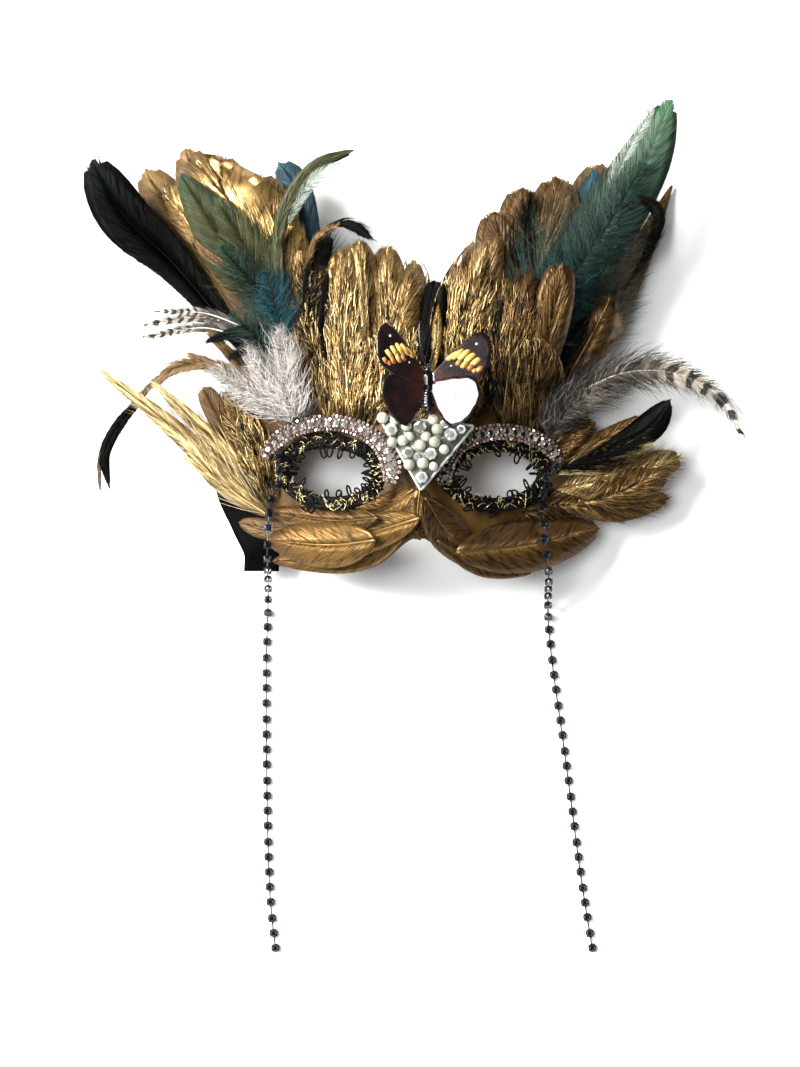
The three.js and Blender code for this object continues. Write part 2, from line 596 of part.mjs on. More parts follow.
const RIGHT_EAR_FEATHERS = [
  { name: "brown_side_right", finish: "tan", half: 7.5, tipZ: 0, blunt: 1,
    points: [[62, 20], [87, 63], [101, 96], [114, 127]] },
  { name: "fan_right_back", finish: "tan", half: 14, tipZ: 12, skew: 1.5, blunt: 0.5,
    points: [[53, 38], [68, 83], [81, 134]] },
  { name: "blue_feather_right", finish: "blue", half: 7, tipZ: 18, skew: 1.4,
    points: [[55, 50], [71, 103], [78, 130]] },
  { name: "fan_right_tall", finish: "bronze", half: 14, tipZ: 20, skew: 1.5, blunt: 0.45,
    points: [[49, 42], [58, 82], [61, 126]] },
  { name: "fan_right_dark", finish: "bronze", half: 14, tipZ: 22, skew: 1.5, blunt: 0.45,
    points: [[45, 44], [49, 82], [46, 121]] },
  { name: "fan_right_mid", finish: "tan", half: 13, tipZ: 25, skew: 1.5, blunt: 0.45,
    points: [[42, 44], [41, 78], [34, 110]] },
  { name: "fan_right_low", finish: "tan", half: 10, tipZ: 28, skew: 1.5, blunt: 0.45,
    points: [[38, 44], [34, 70], [25, 97]] },
  { name: "black_under_right", finish: "black", half: 8, tipZ: 26,
    points: [[57, 36], [72, 54], [85, 74]] },
  { name: "green_feather_right", finish: "green", half: 14, tipZ: 30, blunt: 0.65, rows: 10,
    points: [[53, 62], [67, 87], [81, 105], [98, 133], [108, 157]] },
  { name: "black_curl_right", finish: "black", half: 3.2, tipZ: 36, skew: 1.6, rows: 10,
    points: [[88, 76], [102, 99], [103, 109], [93, 115]] },
];
const RIGHT_CREST_FEATHERS = [
  { name: "crest_right_inner", finish: "gold", half: 13, tipZ: 34, columns: 3, blunt: 0.45,
    points: [[18, 30], [22, 64], [31, 97]] },
  { name: "crest_right_outer", finish: "bronze", half: 12, tipZ: 36, columns: 3, blunt: 0.45,
    points: [[37, 22], [41, 52], [49, 83]] },
  { name: "crest_right_round", finish: "gold", half: 8, tipZ: 36, skew: 1.2, blunt: 0.45,
    points: [[54, 38], [57, 64], [63, 89]] },
];
const RIGHT_SIDE_FEATHERS = [
  { name: "gold_side_right_low", finish: "bronze", half: 9, tipZ: 11, skew: 1.2,
    points: [[61, -12], [86, -13], [110, -9]] },
  { name: "gold_side_right", finish: "gold", half: 9, tipZ: 15, skew: 1.3, blunt: 0.5,
    points: [[61, -6], [88, 0], [115, 8]] },
  { name: "temple_feather_right", finish: "tan", half: 7, tipZ: 20,
    points: [[60, 4], [78, 14], [96, 25]] },
  { name: "black_feather_right", finish: "black", half: 6.5, tipZ: 18, skew: 1.6, blunt: 0.5,
    points: [[61, 1], [85, 12], [101, 21], [111, 33]] },
  { name: "grizzly_right", finish: "barred", half: 11, tipZ: 24, skew: 0.66, blunt: 1.1, rows: 12,
    points: [[54, 21], [72, 36], [93, 44], [114, 42], [130, 32], [139, 17]] },
];

// How the chains hang from the outer ends of the trim, over the cheeks and along the surface.
const LEFT_CHAIN_LINE = [
  [-56, 9], [-55, -2], [-59, -10], [-60, -16], [-61, -36],
  [-63, -71], [-63, -131], [-61.5, -183], [-59, -207],
];
const RIGHT_CHAIN_LINE = [
  [61, 4], [56, -1], [55, -9], [55, -21], [58, -48],
  [60.5, -76], [67, -124], [74, -177], [79, -208],
];

function makeFeathers(list) {
  for (const spec of list) addPiece(spec.name, feather(spec), spec.finish);
}

makeShell();
makeRibbon("ribbon_end_left", [[-74, 12], [-77, -3], [-70, -20], [-64.5, -32], [-64.5, -40.5]]);
makeRibbon("ribbon_end_right", [[74, 4], [84, 1], [95, -3], [106, -4]]);
makeFeathers(CHEEK_FEATHERS);
makeFeathers(LEFT_EAR_FEATHERS);
makeFeathers(LEFT_SIDE_FEATHERS);
makeFeathers(RIGHT_EAR_FEATHERS);
makeFeathers(CREST_FEATHERS);
makeFeathers(RIGHT_CREST_FEATHERS);
makeFeathers(RIGHT_SIDE_FEATHERS);
makeBraid("eye_braid_left", EYES.left);
makeBraid("eye_braid_right", EYES.right);
makeBrow("brow_band_left", EYES.left, -1);
makeBrow("brow_band_right", EYES.right, 1);
makePlate();
makeBeads();
makeButterfly();
makeChain("stone_chain_left", LEFT_CHAIN_LINE);
makeChain("stone_chain_right", RIGHT_CHAIN_LINE);

// The origin is the middle of the underside of everything.
const bounds = new THREE.Box3().setFromObject(mask);
const middle = bounds.getCenter(new THREE.Vector3());
mask.position.set(-middle.x, -middle.y, -bounds.min.z);

export default mask;
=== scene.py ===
"""Dresses the feather masquerade mask: barbed feathers, stone trim, braid, beads, butterfly and chains.

Lengths are millimetres in the mask's own plan, centred between the eyes: X to the right, Y to the
plumes, Z up from the surface the mask lies on. Placement turns them into the row frame's metres.
"""

import logging
import math
from collections.abc import Callable
from dataclasses import dataclass
from enum import Enum

import bpy
import numpy as np
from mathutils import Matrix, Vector
from mathutils.bvhtree import BVHTree


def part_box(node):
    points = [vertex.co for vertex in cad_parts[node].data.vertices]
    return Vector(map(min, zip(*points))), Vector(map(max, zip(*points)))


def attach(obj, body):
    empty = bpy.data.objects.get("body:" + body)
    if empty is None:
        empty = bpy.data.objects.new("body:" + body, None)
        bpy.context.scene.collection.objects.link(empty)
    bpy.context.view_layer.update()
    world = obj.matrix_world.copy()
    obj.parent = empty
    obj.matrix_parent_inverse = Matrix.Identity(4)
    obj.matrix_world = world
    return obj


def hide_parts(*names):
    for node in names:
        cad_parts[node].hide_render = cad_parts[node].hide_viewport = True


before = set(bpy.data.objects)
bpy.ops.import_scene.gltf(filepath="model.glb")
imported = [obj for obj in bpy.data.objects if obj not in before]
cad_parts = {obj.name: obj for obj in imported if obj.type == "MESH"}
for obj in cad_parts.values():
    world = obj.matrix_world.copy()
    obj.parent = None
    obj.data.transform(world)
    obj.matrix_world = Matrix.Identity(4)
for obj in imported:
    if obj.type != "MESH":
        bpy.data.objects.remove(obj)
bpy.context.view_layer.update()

Array = np.ndarray
Point = tuple[float, float]
Line = tuple[Point, ...]
Spot = tuple[float, float, float]
Width = Callable[[Array], Array]
Material = bpy.types.Material
Node = bpy.types.Node
Dice = np.random.Generator

MM = 0.001
BODY = "root"
PLACE_MAP = "OFBake"
LOG = logging.getLogger("mask")

# Seeds of the random numbers

FEATHER_SEED = 1000
BRAID_SEED = 31
BROW_SEED = 7
PLATE_SEED = 5
CHAIN_SEED = 11


def smooth(t: Array | float) -> Array | float:
    """Eased step from 0 to 1."""
    c = np.clip(t, 0.0, 1.0)
    return c * c * (3 - 2 * c)


def bell(t: Array | float) -> Array | float:
    """Bell curve of height 1."""
    return np.exp(-np.square(t))


def mix(a: Array | float, b: Array | float, t: Array | float) -> Array | float:
    """Value at share t of the way from a to b."""
    return a + (b - a) * t


def unit(vectors: Array) -> Array:
    """Vectors of length 1, along the last axis."""
    return vectors / np.maximum(np.linalg.norm(vectors, axis=-1, keepdims=True), 1e-9)


def bridge(start: Array, end: Array, leave: Array, arrive: Array, t: Array) -> Array:
    """Cubic from start to end with a slope at each, at shares t."""
    bowed = (3 * (end - start) - 2 * leave - arrive) * t**2
    return start + leave * t + bowed + (2 * (start - end) + leave + arrive) * t**3


def raised(plan: Array, heights: Array) -> Array:
    """Points in plan with their heights."""
    return np.concatenate([plan, heights[..., None]], -1)


def linear(colour: str) -> tuple[float, float, float, float]:
    """A hex colour as linear red, green, blue and alpha."""
    parts = [int(colour[i : i + 2], 16) / 255 for i in (0, 2, 4)]
    return *(p / 12.92 if p <= 0.04045 else ((p + 0.055) / 1.055) ** 2.4 for p in parts), 1.0


# Where things are


class ShellForm:
    """The moulded shell's shape, as in the solids."""

    centre_x = 1.0
    half_width = 76.0
    rim_inner = 72.0
    wall = 1.6
    dome_height = 39.0
    dome_power = 2.3
    dome_centre_y = 6.0
    dome_reach_y = 120.0
    columns = 20

    @classmethod
    def height(cls, x: Array, y: Array) -> Array:
        """Height of the outer face over points in plan.

        Args:
            x: of each point.
            y: of each point.

        Returns:
            One height a point.
        """
        across = np.abs(x - cls.centre_x) / cls.rim_inner
        along = (y - cls.dome_centre_y) / cls.dome_reach_y
        dome = cls.dome_height * np.maximum(0, 1 - across**cls.dome_power) * np.maximum(0, 1 - along**2)
        ridge = 12 * bell((x - 2.5) / 9) * smooth((22 - y) / 42)
        from_eye = np.abs(x - cls.centre_x) - 34
        socket = 3 * bell(from_eye / 16) * bell(y / 12)
        return cls.wall + np.maximum(0, dome + ridge - socket)

    @staticmethod
    def bottom(x: Array) -> Array:
        """Lower edge of the outline in plan."""
        out = np.abs(x - 2.5)
        return -40 + 14 * bell(out / 13) + 26 * smooth((out - 38) / 38)

    @staticmethod
    def top(x: Array) -> Array:
        """Upper edge of the outline in plan."""
        out = np.abs(x - 2.5)
        return 50 - 5 * bell(out / 14) - 16 * smooth((out - 35) / 41)

    @classmethod
    def column_lines(cls, columns: int) -> Array:
        """X of the grid's columns, with a flat rim at each end."""
        inner = np.linspace(-cls.rim_inner, cls.rim_inner, columns - 1)
        return cls.centre_x + np.r_[-cls.half_width, inner, cls.half_width]


class Placement:
    """Turns plan millimetres into the row frame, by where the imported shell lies."""

    def __init__(self) -> None:
        """Reads the shell's box."""
        low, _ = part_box("mask_shell")
        columns = ShellForm.column_lines(ShellForm.columns)
        own = np.array([columns.min(), ShellForm.bottom(columns).min(), 0.0])
        self.offset = np.array(low) / MM - own

    def metres(self, points: Array) -> Array:
        """Plan millimetres as row frame metres."""
        return (points + self.offset) * MM

    def corners(self, node: str) -> Array:
        """A solid's corners in plan millimetres, each once.

        Args:
            node: name of the solid.

        Returns:
            One row of x, y and z for each corner.
        """
        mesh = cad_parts[node].data
        flat = np.zeros(len(mesh.vertices) * 3, np.float32)
        mesh.vertices.foreach_get("co", flat)
        points = flat.reshape(-1, 3).astype(float) / MM - self.offset
        return np.unique(np.round(points, 3), axis=0)


PLACED = Placement()


class Under:
    """What lies under a spot in plan: the upper faces of some solids."""

    def __init__(self, *nodes: str) -> None:
        """Makes a search tree of the solids' faces.

        Args:
            nodes: names of the solids.
        """
        corners, faces = [], []
        for node in nodes:
            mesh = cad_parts[node].data
            first = len(corners)
            corners += [Vector(np.array(v.co) / MM - PLACED.offset) for v in mesh.vertices]
            faces += [[first + i for i in p.vertices] for p in mesh.polygons]
        self.tree = BVHTree.FromPolygons(corners, faces)

    def top(self, x: float, y: float, otherwise: float = 0.0) -> float:
        """Highest face at a spot, or otherwise where there is none."""
        hit = self.tree.ray_cast(Vector((x, y, 300)), Vector((0, 0, -1)))[0]
        return hit.z if hit else otherwise

    def tops(self, spots: Array) -> Array:
        """Highest face at each spot, carried over from the nearest hit where there is none.

        Args:
            spots: rows of x and y.

        Returns:
            One height a row.
        """
        heights = np.array([self.top(x, y, np.nan) for x, y in spots])
        known = np.flatnonzero(~np.isnan(heights))
        for i in np.flatnonzero(np.isnan(heights)):
            nearest = known[np.argmin(np.linalg.norm(spots[known] - spots[i], axis=1))]
            heights[i] = heights[nearest]
        return heights


class PlanLine:
    """A smooth centripetal line in plan through a few points, as the solids follow."""

    def __init__(self, points: Line) -> None:
        """Keeps the points, and one more past each end."""
        p = np.array(points, float)
        self.points = np.vstack([2 * p[0] - p[1], p, 2 * p[-1] - p[-2]])

    def at(self, u: Array) -> Array:
        """Points at shares u of the line's spans.

        Args:
            u: shares from 0 to 1.

        Returns:
            Rows of x and y.
        """
        spans = len(self.points) - 3
        along = np.clip(u, 0, 1) * spans
        first = np.minimum(along.astype(int), spans - 1)
        t = (along - first)[:, None]
        a, b, c, d = (self.points[first + k] for k in range(4))
        gaps = [np.sqrt(np.linalg.norm(q - p, axis=1))[:, None] for p, q in ((a, b), (b, c), (c, d))]
        leave = ((b - a) / gaps[0] - (c - a) / (gaps[0] + gaps[1]) + (c - b) / gaps[1]) * gaps[1]
        arrive = ((c - b) / gaps[1] - (d - b) / (gaps[1] + gaps[2]) + (d - c) / gaps[2]) * gaps[1]
        return bridge(b, c, leave, arrive, t)

    def ahead(self, u: Array) -> Array:
        """Unit directions along the line at shares u."""
        step = 1e-4
        return unit(self.at(np.minimum(u + step, 1)) - self.at(np.maximum(u - step, 0)))


# Meshes


FLAT_BARB = np.array([(-1.0, 0.0), (1.0, 0.0), (0.0, 1.0)])
HALVINGS = 18
LOCKS = 4096


def round_profile(sides: int) -> Array:
    """Section of a round strand, as across and up shares."""
    turn = np.arange(sides) * math.tau / sides
    return np.stack([np.cos(turn), np.sin(turn)], 1)


class Stock:
    """Gathers the corners and faces of one piece, and what its shader asks of each corner."""

    def __init__(self, dice: Dice | None = None) -> None:
        """Starts empty.

        Args:
            dice: random numbers for what is added.
        """
        self.dice = dice
        self.corners: list[Array] = []
        self.place: list[Array] = []
        self.tone: list[Array] = []
        self.shaft: list[Array] = []
        self.quads = [np.zeros((0, 4), int)]
        self.triangles = [np.zeros((0, 3), int)]
        self.count = 0

    def add(
        self,
        corners: Array,
        quads: Array | None = None,
        triangles: Array | None = None,
        place: Array | None = None,
        tone: Array | float = 0.5,
        shaft: float = 0.0,
    ) -> None:
        """Adds corners and the faces between them.

        Args:
            corners: rows of x, y and z in plan millimetres.
            quads: rows of four corner numbers.
            triangles: rows of three corner numbers.
            place: rows of across and along, from 0 to 1, for the finish.
            tone: lightness from 0 to 1, one for all or one each.
            shaft: 1 where the faces are a feather's shaft.
        """
        n = len(corners)
        self.corners.append(corners)
        self.place.append(np.zeros((n, 2)) if place is None else place)
        self.tone.append(np.broadcast_to(np.asarray(tone, float), (n,)))
        self.shaft.append(np.full(n, float(shaft)))
        if quads is not None:
            self.quads.append(quads + self.count)
        if triangles is not None:
            self.triangles.append(triangles + self.count)
        self.count += n

    def strands(
        self,
        paths: Array,
        half: Array | float,
        rise: Array | float,
        place: Array | None = None,
        tone: Array | float = 0.5,
        profile: Array = FLAT_BARB,
        roll: Array | float = 0.0,
        up: Array | None = None,
        shaft: float = 0.0,
        pointed: bool = False,
    ) -> None:
        """Adds closed thin strands, all with the same number of sections.

        Args:
            paths: strands by sections by x, y and z.
            half: half width, strands by sections.
            rise: height of the profile, strands by sections.
            place: strands by sections by across and along.
            tone: one for all, one for each strand, or one for each of its sections.
            profile: rows of across and up shares.
            roll: turn of each strand about its path.
            up: direction that the profile's up leans to.
            shaft: 1 for a feather's shaft.
            pointed: True ends each strand in a point.
        """
        n, s = paths.shape[:2]
        ahead = unit(np.gradient(paths, axis=1))
        across = unit(np.cross(ahead, np.array([0.0, 0.0, 1.0]) if up is None else up))
        above = np.cross(across, ahead)
        turn = np.broadcast_to(np.asarray(roll, float), (n,))[:, None, None]
        side = across * np.cos(turn) + above * np.sin(turn)
        lift = above * np.cos(turn) - across * np.sin(turn)
        half = np.broadcast_to(half, (n, s))
        rise = np.broadcast_to(rise, (n, s))
        rings = (
            paths[:, :, None]
            + side[:, :, None] * (half[:, :, None] * profile[:, 0])[..., None]
            + lift[:, :, None] * (rise[:, :, None] * profile[:, 1])[..., None]
        )
        if place is not None:
            place = place[:, :, None]
        self.tubes(rings, place, tone, shaft, paths[:, -1] if pointed else None)

    def tubes(
        self,
        rings: Array,
        place: Array | None = None,
        tone: Array | float = 0.5,
        shaft: float = 0.0,
        tips: Array | None = None,
    ) -> None:
        """Adds closed tubes: rings joined by faces, with flat ends, or a point in place of the last ring.

        Args:
            rings: tubes by rings by corners by x, y and z, counter-clockwise as seen from the start.
            place: across and along of each corner.
            tone: one for all, or for each tube, ring or corner.
            shaft: 1 for a feather's shaft.
            tips: the point of each tube.
        """
        n, s, k = rings.shape[:3]
        spots = np.broadcast_to(np.zeros(2) if place is None else place, (n, s, k, 2))
        tone = np.asarray(tone, float)
        tones = np.broadcast_to(tone.reshape(tone.shape + (1,) * (3 - tone.ndim)), (n, s, k))
        walls = s if tips is None else s - 1
        number = np.arange(n * walls * k).reshape(n, walls, k)
        after = np.roll(number, -1, axis=2)
        quads = np.stack([after[:, :-1], number[:, :-1], number[:, 1:], after[:, 1:]], -1).reshape(-1, 4)
        ends = [number[:, 0][:, [0, i, i + 1]] for i in range(1, k - 1)]
        corners = rings[:, :walls].reshape(-1, 3)
        spot_rows, tone_rows = spots[:, :walls].reshape(-1, 2), tones[:, :walls].reshape(-1)
        if tips is None:
            ends += [number[:, -1][:, [0, i + 1, i]] for i in range(1, k - 1)]
        else:
            points = np.broadcast_to((len(corners) + np.arange(n))[:, None], (n, k))
            ends.append(np.stack([after[:, -1], number[:, -1], points], -1).reshape(-1, 3))
            corners = np.vstack([corners, tips])
            spot_rows, tone_rows = np.vstack([spot_rows, spots[:, -1, 0]]), np.r_[tone_rows, tones[:, -1, 0]]
        self.add(corners, quads, np.concatenate(ends), spot_rows, tone_rows, shaft)

    def copies(self, corners: Array, quads: Array | None, triangles: Array, tone: Array) -> None:
        """Adds one shape many times.

        Args:
            corners: copies by corners by x, y and z.
            quads: rows of four corner numbers of one copy.
            triangles: rows of three corner numbers of one copy.
            tone: lightness of each copy.
        """
        n, size = corners.shape[:2]
        step = (np.arange(n) * size)[:, None, None]
        fours = None if quads is None else (quads + step).reshape(-1, 4)
        threes = (triangles + step).reshape(-1, 3)
        self.add(corners.reshape(-1, 3), fours, threes, None, np.repeat(tone, size))

    def plate(self, top: Array, wall: Array | float, place: Array, tone: Array | float = 0.5) -> None:
        """Adds a closed sheet from a grid of its upper points.

        Args:
            top: rows by columns by x, y and z, columns to the right of the rows' direction.
            wall: thickness, one for all or a grid.
            place: rows by columns by across and along.
            tone: one for all or a grid.
        """
        rows, columns = top.shape[:2]
        under = top.copy()
        under[..., 2] -= wall
        deep = rows * columns
        upper = np.arange(deep).reshape(rows, columns)
        quads = np.stack([upper[:-1, :-1], upper[:-1, 1:], upper[1:, 1:], upper[1:, :-1]], -1).reshape(-1, 4)
        rim = np.r_[upper[0], upper[1:, -1], upper[-1, -2::-1], upper[-2:0:-1, 0]]
        after = np.roll(rim, -1)
        faces = [quads, quads[:, ::-1] + deep, np.stack([after, rim, rim + deep, after + deep], -1)]
        tones = np.broadcast_to(np.asarray(tone, float), (rows, columns)).reshape(-1)
        self.add(
            np.concatenate([top.reshape(-1, 3), under.reshape(-1, 3)]),
            np.concatenate(faces),
            None,
            np.tile(place.reshape(-1, 2), (2, 1)),
            np.tile(tones, 2),
        )

    def piece(self, name: str, material: Material, facets: bool = False) -> bpy.types.Object:
        """Makes the object from what was gathered.

        Args:
            name: its name.
            material: its material.
            facets: True keeps the faces flat.

        Returns:
            The new object.
        """
        quads, triangles = np.concatenate(self.quads), np.concatenate(self.triangles)
        loops = np.concatenate([quads.reshape(-1), triangles.reshape(-1)]).astype(np.int32)
        sizes = np.r_[np.full(len(quads), 4), np.full(len(triangles), 3)]
        mesh = bpy.data.meshes.new(name)
        mesh.vertices.add(self.count)
        corners = PLACED.metres(np.concatenate(self.corners))
        mesh.vertices.foreach_set("co", corners.astype(np.float32).reshape(-1))
        mesh.loops.add(len(loops))
        mesh.loops.foreach_set("vertex_index", loops)
        mesh.polygons.add(len(sizes))
        starts = np.r_[0, np.cumsum(sizes)[:-1]].astype(np.int32)
        mesh.polygons.foreach_set("loop_start", starts)
        mesh.polygons.foreach_set("use_smooth", np.full(len(sizes), not facets))
        mesh.update(calc_edges=True)
        place = mesh.uv_layers.new(name=PLACE_MAP)
        spots = np.concatenate(self.place)[loops]
        place.uv.foreach_set("vector", spots.astype(np.float32).reshape(-1))
        for word, values in (("tone", self.tone), ("shaft", self.shaft)):
            layer = mesh.attributes.new(word, "FLOAT", "POINT")
            layer.data.foreach_set("value", np.concatenate(values).astype(np.float32))
        mesh.validate()
        mesh.materials.append(material)
        made = bpy.data.objects.new(name, mesh)
        bpy.context.scene.collection.objects.link(made)
        return made


def slab(outline: Array, low: Array | float, high: Array | float) -> Array:
    """Upper and lower ring of a slab over a counter-clockwise outline, for tubes."""
    return np.stack([np.c_[outline, np.broadcast_to(level, len(outline))] for level in (high, low)])[None]


def hand_over(piece: bpy.types.Object, slot: str, *nodes: str) -> bpy.types.Object:
    """Puts a piece on the body, in the place of its solids.

    Args:
        piece: the object.
        slot: name of the material slot, which is only logged.
        nodes: the solids that it stands for.

    Returns:
        The same object.
    """
    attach(piece, BODY)
    if nodes:
        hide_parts(*nodes)
    LOG.info("%s: %d faces, %s", piece.name, len(piece.data.polygons), slot)
    return piece


# Finishes


class Bench:
    """A material under way: its nodes and its one surface shader."""

    def __init__(self, name: str) -> None:
        """Starts a material with a Principled shader.

        Args:
            name: the material's name.
        """
        self.material = bpy.data.materials.new(name)
        self.material.use_nodes = True
        self.tree = self.material.node_tree
        self.tree.nodes.clear()
        out = self.tree.nodes.new("ShaderNodeOutputMaterial")
        self.shader = self.tree.nodes.new("ShaderNodeBsdfPrincipled")
        self.link(self.shader, "BSDF", out, "Surface")

    def node(self, kind: str, **settings: object) -> Node:
        """Adds a node.

        Args:
            kind: its type, without the word ShaderNode.
            settings: its own settings.

        Returns:
            The node.
        """
        made = self.tree.nodes.new("ShaderNode" + kind)
        for word, value in settings.items():
            setattr(made, word, value)
        return made

    def link(self, source: Node, out: str | int, target: Node, into: str | int) -> None:
        """Joins one socket to another."""
        self.tree.links.new(source.outputs[out], target.inputs[into])

    @staticmethod
    def put(made: Node, **values: object) -> None:
        """Sets plain values on a node's sockets, named with _ for a space."""
        for word, value in values.items():
            made.inputs[word.replace("_", " ")].default_value = value

    def maths(self, operation: str, *inputs: object) -> Node:
        """Adds a Math node.

        Args:
            operation: what it does.
            inputs: numbers or (node, socket) pairs.

        Returns:
            The node.
        """
        made = self.node("Math", operation=operation)
        for i, value in enumerate(inputs):
            if isinstance(value, tuple):
                self.link(value[0], value[1], made, i)
            else:
                made.inputs[i].default_value = value
        return made

    def ramp(self, stops: tuple[tuple[float, str], ...]) -> Node:
        """Adds a colour ramp.

        Args:
            stops: places from 0 to 1 with their hex colours.

        Returns:
            The node.
        """
        made = self.node("ValToRGB")
        elements = made.color_ramp.elements
        while len(elements) < len(stops):
            elements.new(0.5)
        for element, (at, colour) in zip(elements, stops):
            element.position = at
            element.color = linear(colour)
        return made

    def clouds(self, place: Node, out: str, scale: float, detail: float) -> Node:
        """Adds noise.

        Args:
            place: the node that says where.
            out: its socket.
            scale: of the noise.
            detail: its number of finer layers.

        Returns:
            The noise node.
        """
        made = self.node("TexNoise")
        self.put(made, Scale=scale, Detail=detail)
        self.link(place, out, made, "Vector")
        return made

    def noise(self, scale: float, detail: float) -> Node:
        """Noise over the object's own metres."""
        return self.clouds(self.node("TexCoord"), "Object", scale, detail)

    def streaks(self, parts: Node, counts: tuple[float, float]) -> Node:
        """Noise drawn out along the barbs.

        Args:
            parts: the node with across and along, from 0 to 1.
            counts: how many streaks across and along.

        Returns:
            The noise node.
        """
        out = self.maths("ABSOLUTE", (self.maths("SUBTRACT", (parts, "X"), 0.5), 0))
        swept = self.maths("MULTIPLY_ADD", (out, 0), -0.35, (parts, "Y"))
        place = self.node("CombineXYZ")
        self.link(self.maths("MULTIPLY", (parts, "X"), counts[1]), 0, place, "X")
        self.link(self.maths("MULTIPLY", (swept, 0), counts[0]), 0, place, "Y")
        return self.clouds(place, "Vector", 1.0, 5.0)

    def range(self, source: Node, out: str, low: float, high: float, first: float, last: float) -> Node:
        """Maps a value from low to high onto first to last, clamped.

        Args:
            source: the node with the value.
            out: its socket.
            low: value that gives first.
            high: value that gives last.
            first: lower end of the result.
            last: upper end of the result.

        Returns:
            The node.
        """
        made = self.node("MapRange")
        self.link(source, out, made, "Value")
        self.put(made, From_Min=low, From_Max=high, To_Min=first, To_Max=last)
        return made

    def blend(self, factor: object, one: object, two: object) -> tuple[Node, int]:
        """Mixes two colours.

        Args:
            factor: a number or a (node, socket) pair.
            one: the first colour, as a (node, socket) pair or linear values.
            two: the second one.

        Returns:
            The node and its colour socket.
        """
        made = self.node("Mix", data_type="RGBA")
        for socket, value in ((0, factor), (6, one), (7, two)):
            if isinstance(value, tuple) and isinstance(value[0], Node):
                self.link(value[0], value[1], made, socket)
            else:
                made.inputs[socket].default_value = value
        return made, 2

    def bump(self, source: Node, out: str, strength: float, distance: float) -> None:
        """Roughens the surface by a value.

        Args:
            source: the node with the value.
            out: its socket.
            strength: share of the bumps that shows.
            distance: their depth in metres.
        """
        made = self.node("Bump")
        self.put(made, Strength=strength, Distance=distance)
        self.link(source, out, made, "Height")
        self.link(made, "Normal", self.shader, "Normal")


@dataclass(frozen=True)
class FeatherDye:
    """A dyed or gilded feather.

    along holds the colours from quill to tip. patch is what shows where the dye or paint is thin,
    over the share patch_amount. tones are the darkest and lightest strand, as factors, and the
    lightest ones turn to glint.
    """

    name: str
    along: tuple[tuple[float, str], ...]
    shaft: str
    patch: str
    patch_amount: float = 0.3
    tones: tuple[float, float] = (0.6, 1.35)
    glint: str = "ffffff"
    glint_amount: float = 0.0
    metal: float = 0.0
    rough: tuple[float, float] = (0.4, 0.6)
    gloss: float = 0.5
    see_through: float = 0.0
    bars: tuple[str, float] | None = None
    streak: tuple[float, float] = (26.0, 5.0)
    slot: str = ""

    def material(self) -> Material:
        """Builds the shader: ramp along the shaft, thin patches, strand tones and the shaft's colour.

        Returns:
            The material.
        """
        b = Bench(self.name)
        place = b.node("UVMap", uv_map=PLACE_MAP)
        parts = b.node("SeparateXYZ")
        b.link(place, "UV", parts, "Vector")
        cloud = b.noise(90, 4)
        drift = b.range(cloud, "Fac", 0.3, 0.7, -0.08, 0.08)
        along = b.maths("ADD", (parts, "Y"), (drift, "Result"))
        ramp = b.ramp(self.along)
        b.link(along, 0, ramp, "Fac")
        worn = b.streaks(parts, self.streak)
        edge = 0.62 - 0.24 * self.patch_amount
        thin = b.range(worn, "Fac", edge - 0.1, edge + 0.1, 0.0, 1.0)
        colour = b.blend((thin, "Result"), (ramp, "Color"), linear(self.patch))
        if self.bars:
            colour = self.barred(b, parts, colour)
        tone = b.node("Attribute", attribute_name="tone")
        fine = b.noise(1800, 2)
        spread = b.maths("MULTIPLY_ADD", (fine, "Fac"), 0.5, -0.25)
        both = b.maths("ADD", (tone, "Fac"), (spread, 0))
        light = b.range(both, 0, 0.0, 1.0, *self.tones)
        toned = b.node("HueSaturation")
        b.link(light, "Result", toned, "Value")
        b.link(colour[0], colour[1], toned, "Color")
        bright = b.range(both, 0, 0.62, 1.0, 0.0, self.glint_amount)
        lit = b.blend((bright, "Result"), (toned, "Color"), linear(self.glint))
        shaft = b.node("Attribute", attribute_name="shaft")
        final = b.blend((shaft, "Fac"), lit, linear(self.shaft))
        b.link(final[0], final[1], b.shader, "Base Color")
        rough = b.range(worn, "Fac", 0.3, 0.7, *self.rough)
        b.link(rough, "Result", b.shader, "Roughness")
        b.put(b.shader, Metallic=self.metal, Specular_IOR_Level=self.gloss)
        b.put(b.shader, Transmission_Weight=self.see_through)
        b.bump(fine, "Fac", 0.25, 0.0002)
        return b.material

    def barred(self, b: Bench, parts: Node, ground: tuple) -> tuple:
        """Lays dark and light bars across the vane, swept back from the shaft.

        Args:
            b: the material's bench.
            parts: the node with across and along.
            ground: the colour under the bars.

        Returns:
            The barred colour.
        """
        dark, count = self.bars
        out = b.maths("ABSOLUTE", (b.maths("SUBTRACT", (parts, "X"), 0.5), 0))
        wobble = b.noise(140, 3)
        swept = b.maths("MULTIPLY_ADD", (out, 0), -0.1, (parts, "Y"))
        shaken = b.maths("MULTIPLY_ADD", (wobble, "Fac"), 0.08, (swept, 0))
        wave = b.maths("SINE", (b.maths("MULTIPLY", (shaken, 0), count * math.tau), 0))
        bar = b.range(wave, 0, -0.25, 0.25, 0.0, 1.0)
        outer = b.range(parts, "Y", 0.35, 0.62, 0.15, 1.0)
        amount = b.maths("MULTIPLY", (bar, "Result"), (outer, "Result"))
        return b.blend((amount, 0), ground, linear(dark))


